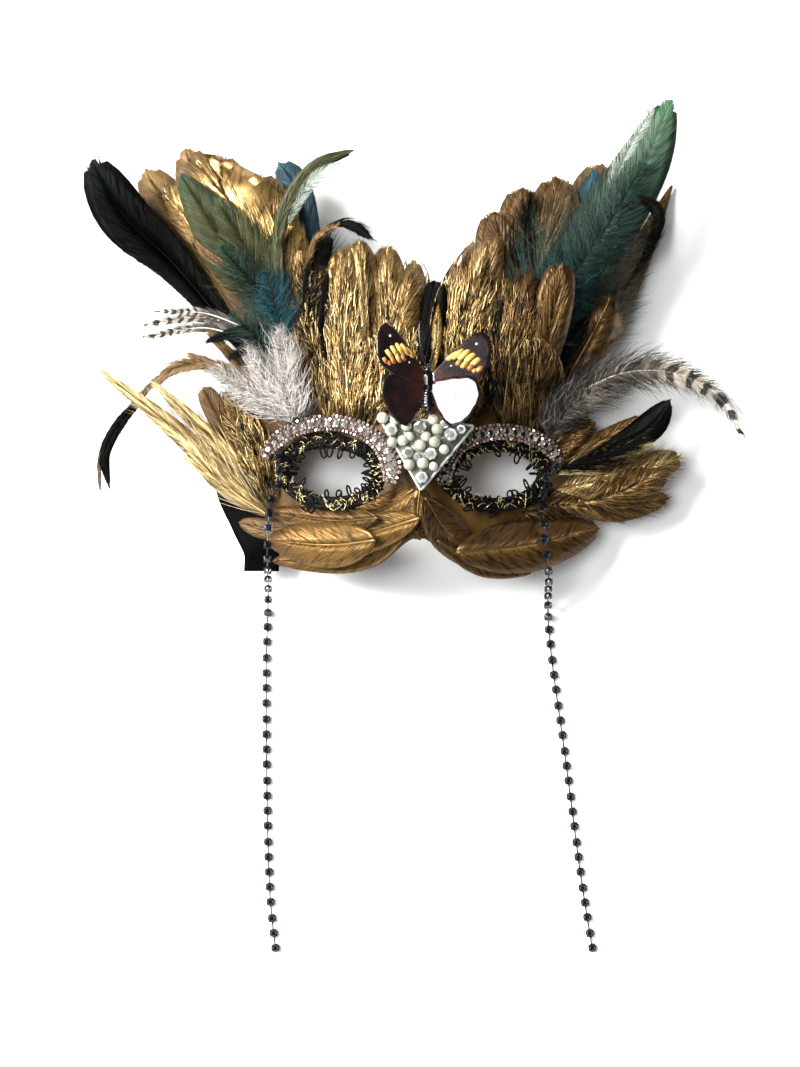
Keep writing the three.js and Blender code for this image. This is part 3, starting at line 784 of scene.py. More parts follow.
class Dye(Enum):
    """The feather finishes, by material slot."""

    GOLD = FeatherDye("gold_feather", ((0.0, "9a7a44"), (0.45, "b8965a"), (0.8, "a88650"), (1.0, "8c6e42")),
                      "a98c5c", "5c431e", 0.25, (0.03, 1.75), "f8e6b4", 0.75, metal=0.75, rough=(0.27, 0.4))
    DEEP_GOLD = FeatherDye(
        "deep_gold_feather", ((0.0, "7c5e32"), (0.45, "94703c"), (0.8, "866434"), (1.0, "6c5030")), "9a7c4c",
        "4c3616", 0.2, (0.2, 1.6), "f0dca4", 0.55, metal=0.7, rough=(0.3, 0.42), slot="gold_feather",
    )
    PALE_GOLD = FeatherDye(
        "pale_gold_feather", ((0.0, "9a7c42"), (0.35, "d0b678"), (1.0, "dcc48c")), "c8ac74", "6a4c20", 0.3,
        (0.15, 1.6), "f8eecc", 0.7, metal=0.55, rough=(0.3, 0.45), streak=(5.0, 9.0),
    )
    BRONZE = FeatherDye(
        "bronze_feather", ((0.0, "543c18"), (0.5, "6c4e24"), (1.0, "5c401a")), "685028", "261808", 0.25,
        (0.02, 1.95), "d8b878", 0.5, metal=0.6, rough=(0.28, 0.42),
    )
    TAN = FeatherDye(
        "tan_feather",
        ((0.0, "34240f"), (0.4, "5e4424"), (0.8, "6e5230"), (0.93, "5c4226"), (1.0, "846430")), "6e5834",
        "7c6030", 0.2, (0.2, 1.45), "d4b880", 0.4, metal=0.2, rough=(0.36, 0.52),
    )
    BLACK = FeatherDye("black_feather", ((0.0, "040403"), (0.85, "050605"), (1.0, "101512")), "0b0a08",
                       "020202", 0.3, (0.3, 1.6), "24231f", 0.3, rough=(0.34, 0.48), gloss=0.07)
    GREEN = FeatherDye(
        "green_feather",
        (
            (0.0, "0c4450"), (0.14, "16404a"), (0.3, "1c332e"), (0.55, "2a3d32"), (0.85, "445c48"),
            (1.0, "3c6846"),
        ),
        "2f4c42", "182620", 0.12, (0.35, 1.55), "8ca894", 0.4, gloss=0.3,
    )
    BLUE = FeatherDye("blue_feather", ((0.0, "07181c"), (0.5, "0a2c34"), (1.0, "1c4854")), "0c2428",
                      "06121c", 0.35, (0.4, 1.6), "5c8c94", 0.25, gloss=0.35)
    DOWN = FeatherDye("down_feather", ((0.0, "d4cec8"), (0.5, "d8d2cc"), (1.0, "cac2ba")), "dcd6d0",
                      "746a62", 0.25, (0.35, 1.4), "fffcf8", 0.6, rough=(0.5, 0.7), see_through=0.15)
    BARRED = FeatherDye(
        "barred_feather",
        ((0.0, "14100c"), (0.3, "1e1712"), (0.5, "3c3329"), (0.66, "b8ae9c"), (1.0, "dcd4c4")), "d8d0c4",
        "5c5248", 0.2, (0.3, 1.4), "dcd4c8", 0.25, rough=(0.45, 0.65), bars=("120e0b", 13.0),
    )
    GREY_FLUFF = FeatherDye(
        "grey_fluff", ((0.0, "887e74"), (0.4, "2a231c"), (0.7, "2e261e"), (1.0, "4c4238")), "a89e92",
        "847a6e", 0.2, (0.3, 1.6), "e4dcd0", 0.3, rough=(0.5, 0.7), slot="barred_feather",
    )
    CURLED = FeatherDye(
        "dark_tipped_feather",
        ((0.0, "9c8a74"), (0.42, "a08458"), (0.5, "4c3820"), (0.6, "120d09"), (1.0, "2c2018")), "2c2014",
        "5c4628", 0.3, (0.35, 1.5), "d8bc88", 0.3, slot="tan_feather",
    )
    TEAL = FeatherDye("teal_fluff", ((0.0, "0b5266"), (0.5, "0a5468"), (0.8, "0a3c46"), (1.0, "0c2c2c")),
                      "0a2c34", "08242c", 0.4, (0.25, 1.9), "48a8b8", 0.3, gloss=0.25, slot="green_feather")
    OLIVE = FeatherDye(
        "olive_feather",
        ((0.0, "0a3c44"), (0.14, "142c1a"), (0.35, "262f16"), (0.7, "383c1c"), (1.0, "2c4428")), "12200f",
        "4c4624", 0.3, (0.25, 1.4), "98905c", 0.4, gloss=0.3, slot="green_feather",
    )
    PALE_GREEN = FeatherDye(
        "pale_green_barbs", ((0.0, "5c7464"), (0.5, "90a092"), (1.0, "a0b0a0")), "7c8c7c", "c8d0c6", 0.4,
        (0.5, 1.4), "e8eee6", 0.5, see_through=0.3, slot="green_feather",
    )
    LOOSE_GREEN = FeatherDye(
        "loose_green_barbs", ((0.0, "0a3a40"), (0.25, "0a2a26"), (0.6, "0c1c14"), (1.0, "1c3c2c")), "0c1c18",
        "06100c", 0.4, (0.3, 1.7), "5c8478", 0.3, gloss=0.25, slot="green_feather",
    )

    def slot(self) -> str:
        """Name of the material slot."""
        return self.value.slot or self.value.name


# Feathers


@dataclass(frozen=True)
class Vane:
    """The closed web of a feather under its barbs.

    share is the part of the outline's width that it fills, from first to last along the shaft.
    """

    share: float = 0.88
    first: float = 0.0
    last: float = 0.97
    sunk: float = 0.12
    wall: float = 0.22
    rows: int = 20
    columns: int = 7
    # The web is the feather's own, but its tone sits below the barbs', so it shows between them as painted
    # shade.
    tone: float = 0.25

    def grow(self, blade: "Blade", stock: Stock) -> None:
        """Adds the web.

        Args:
            blade: the feather's surface.
            stock: takes the faces.
        """
        run, side = blade.grid(self.rows, self.columns, self.first, self.last)
        half = blade.half_at(run, side) * self.share
        ripple = stock.dice.normal(0, 0.06, run.shape)
        top = blade.at(run, side * half, ripple - self.sunk)
        stock.plate(top, self.wall, blade.place(run, side * half), self.tone)


@dataclass(frozen=True)
class Barbs:
    """Barbs that leave the shaft on both sides.

    gap is the space between barbs along the shaft, angle their turn from it at the quill and at the
    tip in degrees, and bend the share of that turn lost on the way out. They reach from least to
    most of the way to the outline. Those in one clump lean together by pull. lift is their height
    over the vane at the shaft and at their tips, tip the share of their width left there, rim how much
    lighter they end, jag how much longer or shorter a clump is than the next, and base their tone.
    """

    gap: float = 0.42
    half: float = 0.24
    rise: float = 0.22
    angle: tuple[float, float] = (42.0, 24.0)
    bend: float = 0.35
    reach: tuple[float, float] = (0.93, 1.03)
    clump: float = 8.0
    pull: float = 0.25
    wave: float = 0.0
    waves: float = 1.5
    lift: tuple[float, float] = (0.0, 0.2)
    stray: float = 3.0
    roll: float = 0.5
    first: float = 0.0
    last: float = 1.0
    sections: int = 4
    sides: tuple[int, ...] = (-1, 1)
    contrast: float = 0.22
    tone: tuple[float, float] = (0.0, 1.0)
    tip: float = 0.2
    rim: float = 0.0
    jag: float = 0.04
    base: float = 0.5

    def grow(self, blade: "Blade", stock: Stock) -> None:
        """Adds the barbs.

        Args:
            blade: the feather's surface.
            stock: takes the faces.
        """
        rng = stock.dice
        count = max(4, int((self.last - self.first) * blade.length / self.gap))
        share = mix(self.first, self.last, (np.arange(count) + rng.uniform(0, 1, count)) / count)
        start = np.tile(share, len(self.sides)) * blade.length
        side = np.repeat(self.sides, count).astype(float)
        n = len(start)
        cuts = np.sort(rng.uniform(0, 2 * blade.length, int(2 * blade.length / self.clump) + 2))
        cuts = np.r_[0.0, cuts, 2 * blade.length + 1e-6]
        spread_out = start + np.where(side > 0, blade.length, 0.0)
        bunch = np.searchsorted(cuts, spread_out, side="right") - 1
        own = rng.uniform(-1, 1, (len(cuts), 3))[bunch]
        middle = (cuts[bunch] + cuts[bunch + 1]) / 2 - np.where(side > 0, blade.length, 0.0)
        turn = mix(self.angle[0], self.angle[1], start / blade.length)
        turn = np.radians(turn + rng.normal(0, self.stray, n) + own[:, 0] * self.stray * 1.5)
        t = np.linspace(0, 1, self.sections)
        bearing = turn[:, None] * (1 - self.bend * t[None, :])
        ahead = np.cumsum(np.c_[np.zeros(n), np.cos(bearing[:, 1:])], axis=1) / (self.sections - 1)
        out = np.cumsum(np.c_[np.zeros(n), np.sin(bearing[:, 1:])], axis=1) / (self.sections - 1)
        length = self.reach_out(blade, start, side, ahead[:, -1], out[:, -1])
        length = length * rng.uniform(*self.reach, n) * (1 + self.jag * own[:, 1])
        run = start[:, None] + ahead * length[:, None]
        run += np.clip(middle - start, -self.clump, self.clump)[:, None] * self.pull * t[None, :] ** 2
        away = side[:, None] * out * length[:, None]
        phase = rng.uniform(0, math.tau, n)[:, None]
        sway = self.wave * t[None, :] * np.sin(phase + t[None, :] * self.waves * math.tau)
        away = away + sway
        lift = mix(self.lift[0], self.lift[1] * (1 + 0.5 * own[:, 2])[:, None], t[None, :] ** 1.5)
        lift = lift + rng.uniform(0, 0.12, n)[:, None] + 0.6 * sway * self.wave
        paths = blade.at(run, away, lift)
        taper = 1 - (1 - self.tip) * t**1.6
        size = rng.uniform(0.75, 1.2, n)[:, None]
        tone = self.base + self.contrast * (own[:, 2] + rng.normal(0, 0.9, n))[:, None]
        tone = np.clip(tone + self.rim * smooth((t - 0.7) / 0.3), *self.tone)
        stock.strands(
            paths,
            self.half * size * taper,
            self.rise * size * taper,
            blade.place(run, away),
            tone,
            roll=rng.uniform(-self.roll, self.roll, n),
            pointed=True,
        )

    @staticmethod
    def reach_out(blade: "Blade", start: Array, side: Array, ahead: Array, out: Array) -> Array:
        """Length at which each barb meets the outline.

        Args:
            blade: the feather's surface.
            start: where each leaves the shaft.
            side: -1 or 1.
            ahead: how far along its end lies, for a length of 1.
            out: how far out its end lies, for a length of 1.

        Returns:
            One length a barb.
        """
        low, high = np.zeros(len(start)), np.full(len(start), 3.0 * blade.widest)
        for _ in range(HALVINGS):
            middle = (low + high) / 2
            run = start + ahead * middle
            inside = (out * middle < blade.half_at(run, side)) & (run < blade.length * 1.01)
            low, high = np.where(inside, middle, low), np.where(inside, high, middle)
        return np.maximum(low, 0.6)


@dataclass(frozen=True)
class Fur:
    """Matted fine fibres that lie roughly along the shaft in locks, as on a gilded fluffy feather.

    density is fibres a square millimetre, crimp the depth of their waves and waves how many each has.
    A lock's fibres share a heading, a height and a sideways bow. They are lightest at its middle and darker
    towards its edges: painted shade in the creases between locks.
    """

    density: float = 0.6
    length: tuple[float, float] = (7.0, 14.0)
    half: float = 0.15
    rise: float = 0.15
    spread: float = 9.0
    fan: float = 14.0
    crimp: float = 0.6
    waves: float = 1.3
    lift: tuple[float, float] = (0.1, 0.9)
    lock: float = 3.2
    first: float = 0.0
    last: float = 0.8
    share: float = 1.0
    past: float = 0.8
    sections: int = 7
    tone: tuple[float, float] = (0.45, 0.3)
    bow: float = 2.6

    def grow(self, blade: "Blade", stock: Stock) -> None:
        """Adds the fibres.

        Args:
            blade: the feather's surface.
            stock: takes the faces.
        """
        rng = stock.dice
        area = blade.length * (self.last - self.first) * blade.widest * 2
        n = int(area * self.density)
        start = rng.uniform(self.first, self.last, n) * blade.length
        across = rng.uniform(-1, 1, n)
        away = across * blade.half_at(start, across) * self.share
        wander = 0.5 * self.lock * np.sin(start / 6.0 + 2.0 * across)
        column = (away + wander) / self.lock
        lock = np.floor(column).astype(int) * 7 + np.floor(start / 11.0 + 0.5 * np.floor(column)).astype(int)
        own = rng.uniform(-1, 1, (LOCKS, 3))[lock % LOCKS]
        inside = np.abs(column - np.floor(column) - 0.5) * 2
        turn = np.radians(across * self.fan + own[:, 0] * 9 + rng.normal(0, self.spread, n))
        length = rng.uniform(*self.length, n)
        t = np.linspace(0, 1, self.sections)[None, :]
        phase = rng.uniform(0, math.tau, n)[:, None]
        beat = rng.uniform(0.7, 1.3, n)[:, None] * self.waves * math.tau
        swing = self.crimp * (np.sin(phase + t * beat) - np.sin(phase))
        run = start[:, None] + t * (length * np.cos(turn))[:, None]
        bow = self.bow * own[:, 2][:, None] * t**2
        out = away[:, None] + t * (length * np.sin(turn))[:, None] + swing + bow
        limit = blade.half_at(np.minimum(run, blade.length), out) + self.past
        out = np.clip(out, -limit, limit)
        run = np.minimum(run, blade.length + 0.4)
        height = mix(self.lift[1], self.lift[0], inside**2) * rng.uniform(0.4, 1.2, n)
        lift = height[:, None] * np.sin(np.pi * (0.1 + 0.82 * t)) + 0.12 * np.sin(phase * 2 + t * beat)
        taper = np.sin(np.pi * (0.12 + 0.8 * t)) ** 0.7
        # Darker towards the lock's edges: painted shade in the creases between locks.
        tone = self.tone[0] + 0.2 * own[:, 1] - 0.22 * inside**2 + rng.normal(0, self.tone[1], n)
        stock.strands(
            blade.at(run, out, lift),
            self.half * taper,
            self.rise * taper,
            blade.place(run, out),
            np.clip(tone, 0, 1),
            roll=rng.uniform(-0.9, 0.9, n),
            pointed=True,
        )


class Plumage(Enum):
    """How a feather is made up, as layers that are laid in order."""

    SMOOTH = (
        Vane(0.92, tone=0.4),
        Barbs(0.52, 0.27, 0.08, clump=18, pull=0.1, stray=1.1, roll=0.15, reach=(0.97, 1.02), contrast=0.06,
              tip=0.7, jag=0.015),
        Barbs(3.0, 0.11, 0.1, (34, 20), 0.2, (0.7, 1.03), 5, 0.2, lift=(0.1, 0.3), contrast=0.3, first=0.1),
    )
    RIMMED = (
        Vane(0.97, tone=0.15),
        Barbs(0.52, 0.26, 0.08, (30, 14), clump=26, pull=0.06, stray=1.0, roll=0.2, reach=(0.99, 1.01),
              contrast=0.08, tip=0.9, rim=0.75, jag=0.004, base=0.28, sections=5),
    )
    SPLIT = (
        Vane(0.86, tone=0.35),
        Barbs(0.52, 0.27, 0.1, (34, 20), clump=9, pull=0.2, stray=2, roll=0.5, contrast=0.16,
              reach=(0.95, 1.02), tip=0.4),
        Barbs(1.2, 0.14, 0.12, (28, 16), 0.2, (0.7, 1.03), 5, 0.3, lift=(0.1, 0.5), contrast=0.35,
              first=0.1),
    )
    CHEEK = (
        Vane(0.96, tone=0.48),
        Barbs(0.52, 0.29, 0.06, clump=24, pull=0.05, stray=0.8, roll=0.1, contrast=0.05, reach=(0.98, 1.02),
              tip=0.7, jag=0.01),
    )
    GILDED = (
        Vane(0.86, tone=0.0),
        Fur(0.38, (12, 24), 0.21, 0.22, 4, 14, 0.4, 1.3, (0.1, 1.3), 2.8, 0.2, 0.66, past=1.2, sections=6,
            tone=(0.4, 0.28)),
        Fur(0.5, (5, 12), 0.165, 0.17, 8, 12, 0.3, 1.2, (0.3, 1.4), 1.7, 0.25, 0.68, past=1.2, sections=5,
            tone=(0.55, 0.36)),
        Barbs(0.45, 0.24, 0.1, (22, 11), first=0.45, clump=10, pull=0.2, lift=(0.1, 0.4), contrast=0.15),
    )
    SATIN = (
        Vane(0.94, tone=0.4),
        Barbs(0.52, 0.26, 0.08, (18, 9), 0.3, (0.95, 1.02), 14, 0.1, lift=(0.0, 0.25), stray=1.6, roll=0.5,
              contrast=0.14, tip=0.6, jag=0.03),
        Barbs(1.4, 0.12, 0.1, (14, 7), 0.2, (0.6, 1.04), 5, 0.2, lift=(0.2, 0.5), contrast=0.3, first=0.05),
    )
    HACKLE = (
        Vane(0.93, first=0.42, last=0.96, tone=0.35),
        Barbs(0.32, 0.17, 0.08, (42, 20), 0.3, (0.96, 1.02), 22, 0.07, 0.03, lift=(0.0, 0.15), stray=1.2,
              contrast=0.12, tip=0.7, jag=0.01),
        Barbs(0.5, 0.1, 0.09, (80, 52), 0.45, (0.6, 1.5), 5, 0.4, 0.8, lift=(0.3, 2.0), stray=13, last=0.4,
              sections=6),
    )
    VEIL = (
        Barbs(0.4, 0.13, 0.08, (44, 24), 0.3, (0.9, 1.04), 9, 0.2, 0.2, lift=(0.1, 0.4), stray=4,
              contrast=0.16, tip=0.5),
    )
    LOOSE = (
        Barbs(0.32, 0.11, 0.09, (74, 34), 0.4, (0.5, 1.08), 7, 0.5, 0.9, 1.1, (0.2, 1.8), 8, sections=6,
              contrast=0.3),
        Barbs(0.75, 0.1, 0.08, (88, 46), 0.5, (0.35, 1.15), 3, 0.6, 1.6, 1.6, (0.6, 3.0), 15, sections=7,
              contrast=0.3),
    )
    DOWN = (
        Vane(0.45, last=0.8, tone=0.1),
        Barbs(0.42, 0.16, 0.14, (60, 26), 0.6, (0.6, 1.15), 4, 0.9, 1.2, 1.2, (0.1, 2.0), 16, sections=6,
              contrast=0.3),
        Barbs(0.46, 0.13, 0.13, (46, 20), 0.7, (0.4, 1.3), 3, 1.0, 1.6, 1.4, (0.4, 4.0), 24, sections=7,
              contrast=0.35),
    )
    BARRED = (
        Vane(0.4, last=0.9, tone=0.3),
        Barbs(0.42, 0.19, 0.12, (56, 22), 0.4, (0.7, 1.1), 5, 0.4, 0.2, lift=(0.0, 0.5), stray=5,
              sections=5),
        Barbs(0.52, 0.12, 0.1, (72, 36), 0.5, (0.8, 1.5), 4, 0.5, 0.9, lift=(0.3, 2.4), stray=13, last=0.8,
              sections=6),
    )
    WISP = (
        Vane(0.5, tone=0.2),
        Barbs(0.52, 0.25, 0.12, (10, 5), 0.3, (0.7, 1.05), 7, 0.2, 0.1, lift=(0.0, 0.3), stray=1.5,
              contrast=0.16, jag=0.15),
        Barbs(1.6, 0.13, 0.1, (20, 10), 0.1, (0.8, 1.5), 3, 0.4, 0.1, lift=(0.1, 0.5), stray=4,
              contrast=0.3),
    )
    TUFTED = (
        Vane(0.86, tone=0.3),
        Barbs(0.52, 0.26, 0.1, (30, 18), clump=10, pull=0.15, stray=2, roll=0.4, contrast=0.16,
              reach=(0.9, 1.0)),
        Barbs(0.5, 0.12, 0.1, (44, 24), 0.3, (0.9, 1.3), 4, 0.5, 0.5, lift=(0.2, 1.2), stray=9,
              contrast=0.35, sections=6),
    )
    STRANDS = (
        Barbs(0.36, 0.15, 0.12, (16, 8), 0.3, (0.7, 1.3), 6, 0.3, 0.5, lift=(0.0, 0.8), stray=5,
              contrast=0.3, sections=6),
    )
    CURL = (
        Vane(0.6, tone=0.3),
        Barbs(0.36, 0.18, 0.1, (36, 18), 0.4, (0.75, 1.15), 5, 0.4, 0.1, lift=(0.0, 0.3), stray=4,
              contrast=0.26, jag=0.12),
    )
    FLUFF = (
        Fur(0.36, (11, 22), 0.22, 0.22, 5, 14, 0.42, 1.3, (0.1, 1.1), 2.8, last=1.0, past=2.0, sections=6,
            tone=(0.4, 0.28)),
        Fur(0.46, (5, 12), 0.17, 0.17, 9, 12, 0.32, 1.2, (0.3, 1.3), 1.7, last=1.0, past=2.0, sections=5,
            tone=(0.55, 0.36)),
    )
    BARE = ()


@dataclass(frozen=True)
class Feather:
    """One feather: its place and outline as in the solids, and how it is made up.

    half is the greatest half width. The vane is widest where the share along it, to the power skew,
    is a half, and blunt under 1 rounds the tip. rows and columns are the solid's own. crown is how far
    the shaft stands over the edges, as a share of half, and crumple the height of its waves. Loose
    barbs with no solid of their own are laid over the solids named in over, at the height rise.
    """

    name: str
    dye: Dye
    plumage: Plumage
    points: Line
    half: float
    skew: float = 1.0
    blunt: float = 0.6
    rows: int = 7
    columns: int = 2
    quill: float = 0.55
    crown: float = 0.12
    crumple: float = 0.0
    over: tuple[str, ...] = ()
    rise: float = 0.8

    def half_width(self, u: Array) -> Array:
        """Half width at shares u along the shaft."""
        swell = np.abs(np.sin(np.pi * np.clip(u, 0, 1) ** self.skew)) ** self.blunt
        return self.half * mix(0.1, 1, swell)

    def build(self, number: int, material: Material) -> None:
        """Makes the feather.

        Args:
            number: seeds its random numbers.
            material: its dye.
        """
        stock = Stock(np.random.default_rng(FEATHER_SEED + number))
        if self.over:
            blade = Blade.laid(self.points, self.half_width, self.over, self.rise)
        else:
            blade = Blade(self.name, self.points, self.half_width, self.rows, self.columns)
        blade.shape(self.crown * self.half, self.crumple, stock.dice)
        for layer in self.plumage.value:
            layer.grow(blade, stock)
        if self.quill:
            self.add_shaft(blade, stock)
        nodes = () if self.over else (self.name,)
        hand_over(stock.piece(self.name + "_plume", material), self.dye.slot(), *nodes)

    def add_shaft(self, blade: "Blade", stock: Stock) -> None:
        """Adds the shaft, from a short bare quill to just before the tip.

        Args:
            blade: the feather's surface.
            stock: takes the faces.
        """
        t = np.linspace(0, 0.97, 30)[None, :]
        run = t * blade.length
        none = np.zeros_like(run)
        width = mix(self.quill, 0.12, t)
        path, place = blade.at(run, none, none - 0.05), blade.place(run, none)
        stock.strands(path, width, width * 0.9, place, profile=round_profile(5), shaft=1.0)


class Blade:
    """A feather's surface over the plan, with the heights at which its solid lies.

    samples is how many stretches its line is cut into, columns how many spots a row of heights has,
    and folds how many waves crumple it. Corners closer than near lie on one spot of the solid.
    A blade with no solid of its own looks down from laid_rows rows of laid_columns spots, and is
    filled in softly over a few passes.
    """

    samples = 200
    columns = 33
    folds = 7
    near = 0.03
    laid_rows = 40
    laid_columns = 13
    passes = 14

    def __init__(
        self, node: str, points: Line, half_width: Width, rows: int, columns: int
    ) -> None:
        """Reads the solid's own corners.

        Args:
            node: name of the solid.
            points: its line in plan.
            half_width: half width at shares along it.
            rows: how many rows of faces the solid has.
            columns: how many columns of faces it has.
        """
        line = PlanLine(points)
        self.trace(line, half_width)
        stations = np.linspace(0, 1, rows + 1)
        sides = np.linspace(-1, 1, columns + 1)
        ahead = line.ahead(stations)
        right = np.stack([ahead[:, 1], -ahead[:, 0]], 1)
        reach = half_width(stations)[:, None] * sides[None, :]
        spots = line.at(stations)[:, None] + right[:, None] * reach[..., None]
        corners = PLACED.corners(node)
        apart = np.linalg.norm(corners[None, :, :2] - spots.reshape(-1, 1, 2), axis=2)
        own = apart < apart.min(axis=1, keepdims=True) + self.near
        tops = np.where(own, corners[None, :, 2], -np.inf).max(axis=1).reshape(reach.shape)
        self.levels = self.eased(tops, np.linspace(0, 1, self.samples + 1))

    @staticmethod
    def eased(rows: Array, u: Array) -> Array:
        """Rows of heights at even stations, carried smoothly to the shares u.

        Args:
            rows: stations by columns.
            u: shares from 0 to 1.

        Returns:
            Shares by columns.
        """
        padded = np.vstack([2 * rows[0] - rows[1], rows, 2 * rows[-1] - rows[-2]])
        at = u * (len(rows) - 1)
        first = np.minimum(at.astype(int), len(rows) - 2)
        t = (at - first)[:, None]
        a, b, c, d = (padded[first + k] for k in range(4))
        return bridge(b, c, (c - a) / 2, (d - b) / 2, t)

    def grid(self, rows: int, columns: int, first: float = 0.0, last: float = 1.0) -> list[Array]:
        """Distances along the shaft from share first to last, and shares out to each side, as two grids."""
        run = np.linspace(first, last, rows) * self.length
        return np.meshgrid(run, np.linspace(-1, 1, columns), indexing="ij")

    def half_at(self, run: Array, side: Array) -> Array:
        """Half width at a distance along the shaft; the outline is the same on both sides."""
        inside = np.interp(run, self.arc, self.half)
        return np.where(run > self.length, 0.0, inside) + 0.0 * side

    def place(self, run: Array, out: Array) -> Array:
        """Across and along, from 0 to 1, for the finish."""
        across = np.clip(out / (2.2 * self.widest), -0.5, 0.5) + 0.5
        return np.stack([across, np.clip(run / self.length, 0, 1)], -1)

    @classmethod
    def laid(
        cls, points: Line, half_width: Width, nodes: tuple[str, ...], rise: float
    ) -> "Blade":
        """A blade that lies over some solids instead of having one of its own.

        Args:
            points: its line in plan.
            half_width: half width at shares along it.
            nodes: the solids under it.
            rise: its height over them.

        Returns:
            The blade.
        """
        blade = cls.__new__(cls)
        blade.trace(PlanLine(points), half_width)
        sides = np.linspace(-1, 1, cls.laid_columns)
        step = cls.samples // cls.laid_rows
        centre, right, half = blade.centre[::step], blade.right[::step], np.maximum(blade.half[::step], 1.0)
        spots = centre[:, None] + right[:, None] * (half[:, None] * sides)[..., None]
        tops = Under(*nodes).tops(spots.reshape(-1, 2)).reshape(spots.shape[:2])
        for _ in range(cls.passes):
            padded = np.pad(tops, 1, mode="edge")
            sums = padded[2:, 1:-1] + padded[:-2, 1:-1] + padded[1:-1, 2:] + padded[1:-1, :-2]
            tops = np.maximum(tops, sums / 4)
        blade.levels = cls.eased(tops, np.linspace(0, 1, cls.samples + 1)) + rise
        return blade

    def shape(self, crown: float, crumple: float, rng: Dice) -> None:
        """Arches the blade over its shaft and crumples it.

        Args:
            crown: height of the arch.
            crumple: height of the waves.
            rng: random numbers.
        """
        sides = np.linspace(-1, 1, self.columns)
        own = np.linspace(-1, 1, self.levels.shape[1])
        self.levels = np.array([np.interp(sides, own, row) for row in self.levels])
        across = sides[None, :] * self.half[:, None]
        run = self.arc[:, None]
        full = np.minimum(1.0, self.half / (0.6 * self.widest))[:, None]
        self.levels = self.levels + crown * full * (1 - sides[None, :] ** 2)
        for _ in range(self.folds):
            turn, phase, width = rng.uniform(-0.5, 0.5), rng.uniform(0, math.tau), rng.uniform(4.5, 11)
            swept = across * math.cos(turn) + (run - np.abs(across)) * math.sin(turn)
            self.levels = self.levels + crumple / 4 * np.sin(swept * math.tau / width + phase)

    def trace(self, line: PlanLine, half_width: Width) -> None:
        """Samples the line in plan and the half width.

        Args:
            line: the line in plan.
            half_width: half width at shares along it.
        """
        u = np.linspace(0, 1, self.samples + 1)
        self.centre = line.at(u)
        self.ahead = line.ahead(u)
        self.right = np.stack([self.ahead[:, 1], -self.ahead[:, 0]], 1)
        steps = np.linalg.norm(np.diff(self.centre, axis=0), axis=1)
        self.arc = np.r_[0, np.cumsum(steps)]
        self.length = float(self.arc[-1])
        self.half = half_width(u)
        self.widest = float(self.half.max())

    def at(self, run: Array, out: Array, lift: Array) -> Array:
        """Points on the surface.

        Args:
            run: distance along the shaft.
            out: distance to its right.
            lift: height over the solid's upper face.

        Returns:
            The same shape with x, y and z.
        """
        step = np.interp(run, self.arc, np.arange(self.samples + 1))
        low = np.minimum(step.astype(int), self.samples - 1)
        share = (step - low)[..., None]
        centre = mix(self.centre[low], self.centre[low + 1], share)
        right = unit(mix(self.right[low], self.right[low + 1], share))
        ahead = unit(mix(self.ahead[low], self.ahead[low + 1], share))
        past = run - np.clip(run, 0, self.length)
        plan = centre + right * out[..., None] + ahead * past[..., None]
        half = np.maximum(np.interp(run, self.arc, self.half), 1.0)
        columns = self.levels.shape[1] - 1
        column = (np.clip(out / half, -1, 1) + 1) / 2 * columns
        left = np.minimum(column.astype(int), columns - 1)
        t = column - left
        level = mix(
            mix(self.levels[low, left], self.levels[low, left + 1], t),
            mix(self.levels[low + 1, left], self.levels[low + 1, left + 1], t),
            share[..., 0],
        )
        return raised(plan, level + lift)


@dataclass
class FeatherGroup:
    """Feathers that are laid together, lowest first."""

    name: str
    feathers: tuple[Feather, ...]

    def build(self, first: int, dyes: dict[Dye, Material]) -> int:
        """Makes every feather.

        Args:
            first: number of the first one.
            dyes: the feather materials.

        Returns:
            The next free number.
        """
        for i, feather in enumerate(self.feathers):
            feather.build(first + i, dyes[feather.dye])
        LOG.info("%s: %d feathers", self.name, len(self.feathers))
        return first + len(self.feathers)


LEFT_FAN = ("fan_left_outer", "fan_left_tall", "fan_left_mid", "fan_left_gold")
LEFT_GREEN = (*LEFT_FAN, "green_feather_left", "black_feather_left")
LEFT_LOBES = ("mask_shell", "crest_left_outer", "crest_left_middle", "crest_left_inner")
RIGHT_LOBES = ("mask_shell", "crest_right_outer", "crest_right_inner")
RIGHT_FAN = (
    "fan_right_back", "fan_right_tall", "fan_right_dark", "fan_right_mid", "fan_right_low",
    "blue_feather_right",
)
RIGHT_GREEN = (*RIGHT_FAN, "green_feather_right", "brown_side_right")

CHEEKS = (
    Feather("nose_feather", Dye.BRONZE, Plumage.CHEEK, ((3, -6), (2, -17), (3, -27)), 7, columns=3),
    Feather("cheek_left_lower", Dye.DEEP_GOLD, Plumage.CHEEK, ((-2, -22), (-22, -34), (-59, -36)), 6),
    Feather("cheek_left_inner", Dye.DEEP_GOLD, Plumage.CHEEK, ((3, -18), (-20, -25), (-48, -34)), 8),
    Feather("cheek_left_top", Dye.DEEP_GOLD, Plumage.CHEEK, ((1, -6), (-13, -14.5), (-34, -18.5)), 6,
            over=("mask_shell", "nose_feather"), rise=0.1),
    Feather("cheek_left_upper", Dye.BRONZE, Plumage.CHEEK, ((-14, -18), (-32, -19), (-60, -15)), 6),
    Feather("cheek_left_outer", Dye.DEEP_GOLD, Plumage.CHEEK, ((-15, -27), (-34, -29), (-61, -27)), 10,
            columns=3),
    Feather("cheek_right_inner", Dye.BRONZE, Plumage.CHEEK, ((5, -10), (14, -24), (28, -38)), 8, columns=3),
    Feather("cheek_right_lower", Dye.BRONZE, Plumage.CHEEK, ((10, -27), (28, -38), (50, -41)), 4),
    Feather("cheek_right_large", Dye.BRONZE, Plumage.CHEEK, ((18, -32), (48, -29), (80, -22)), 12,
            columns=3),
)
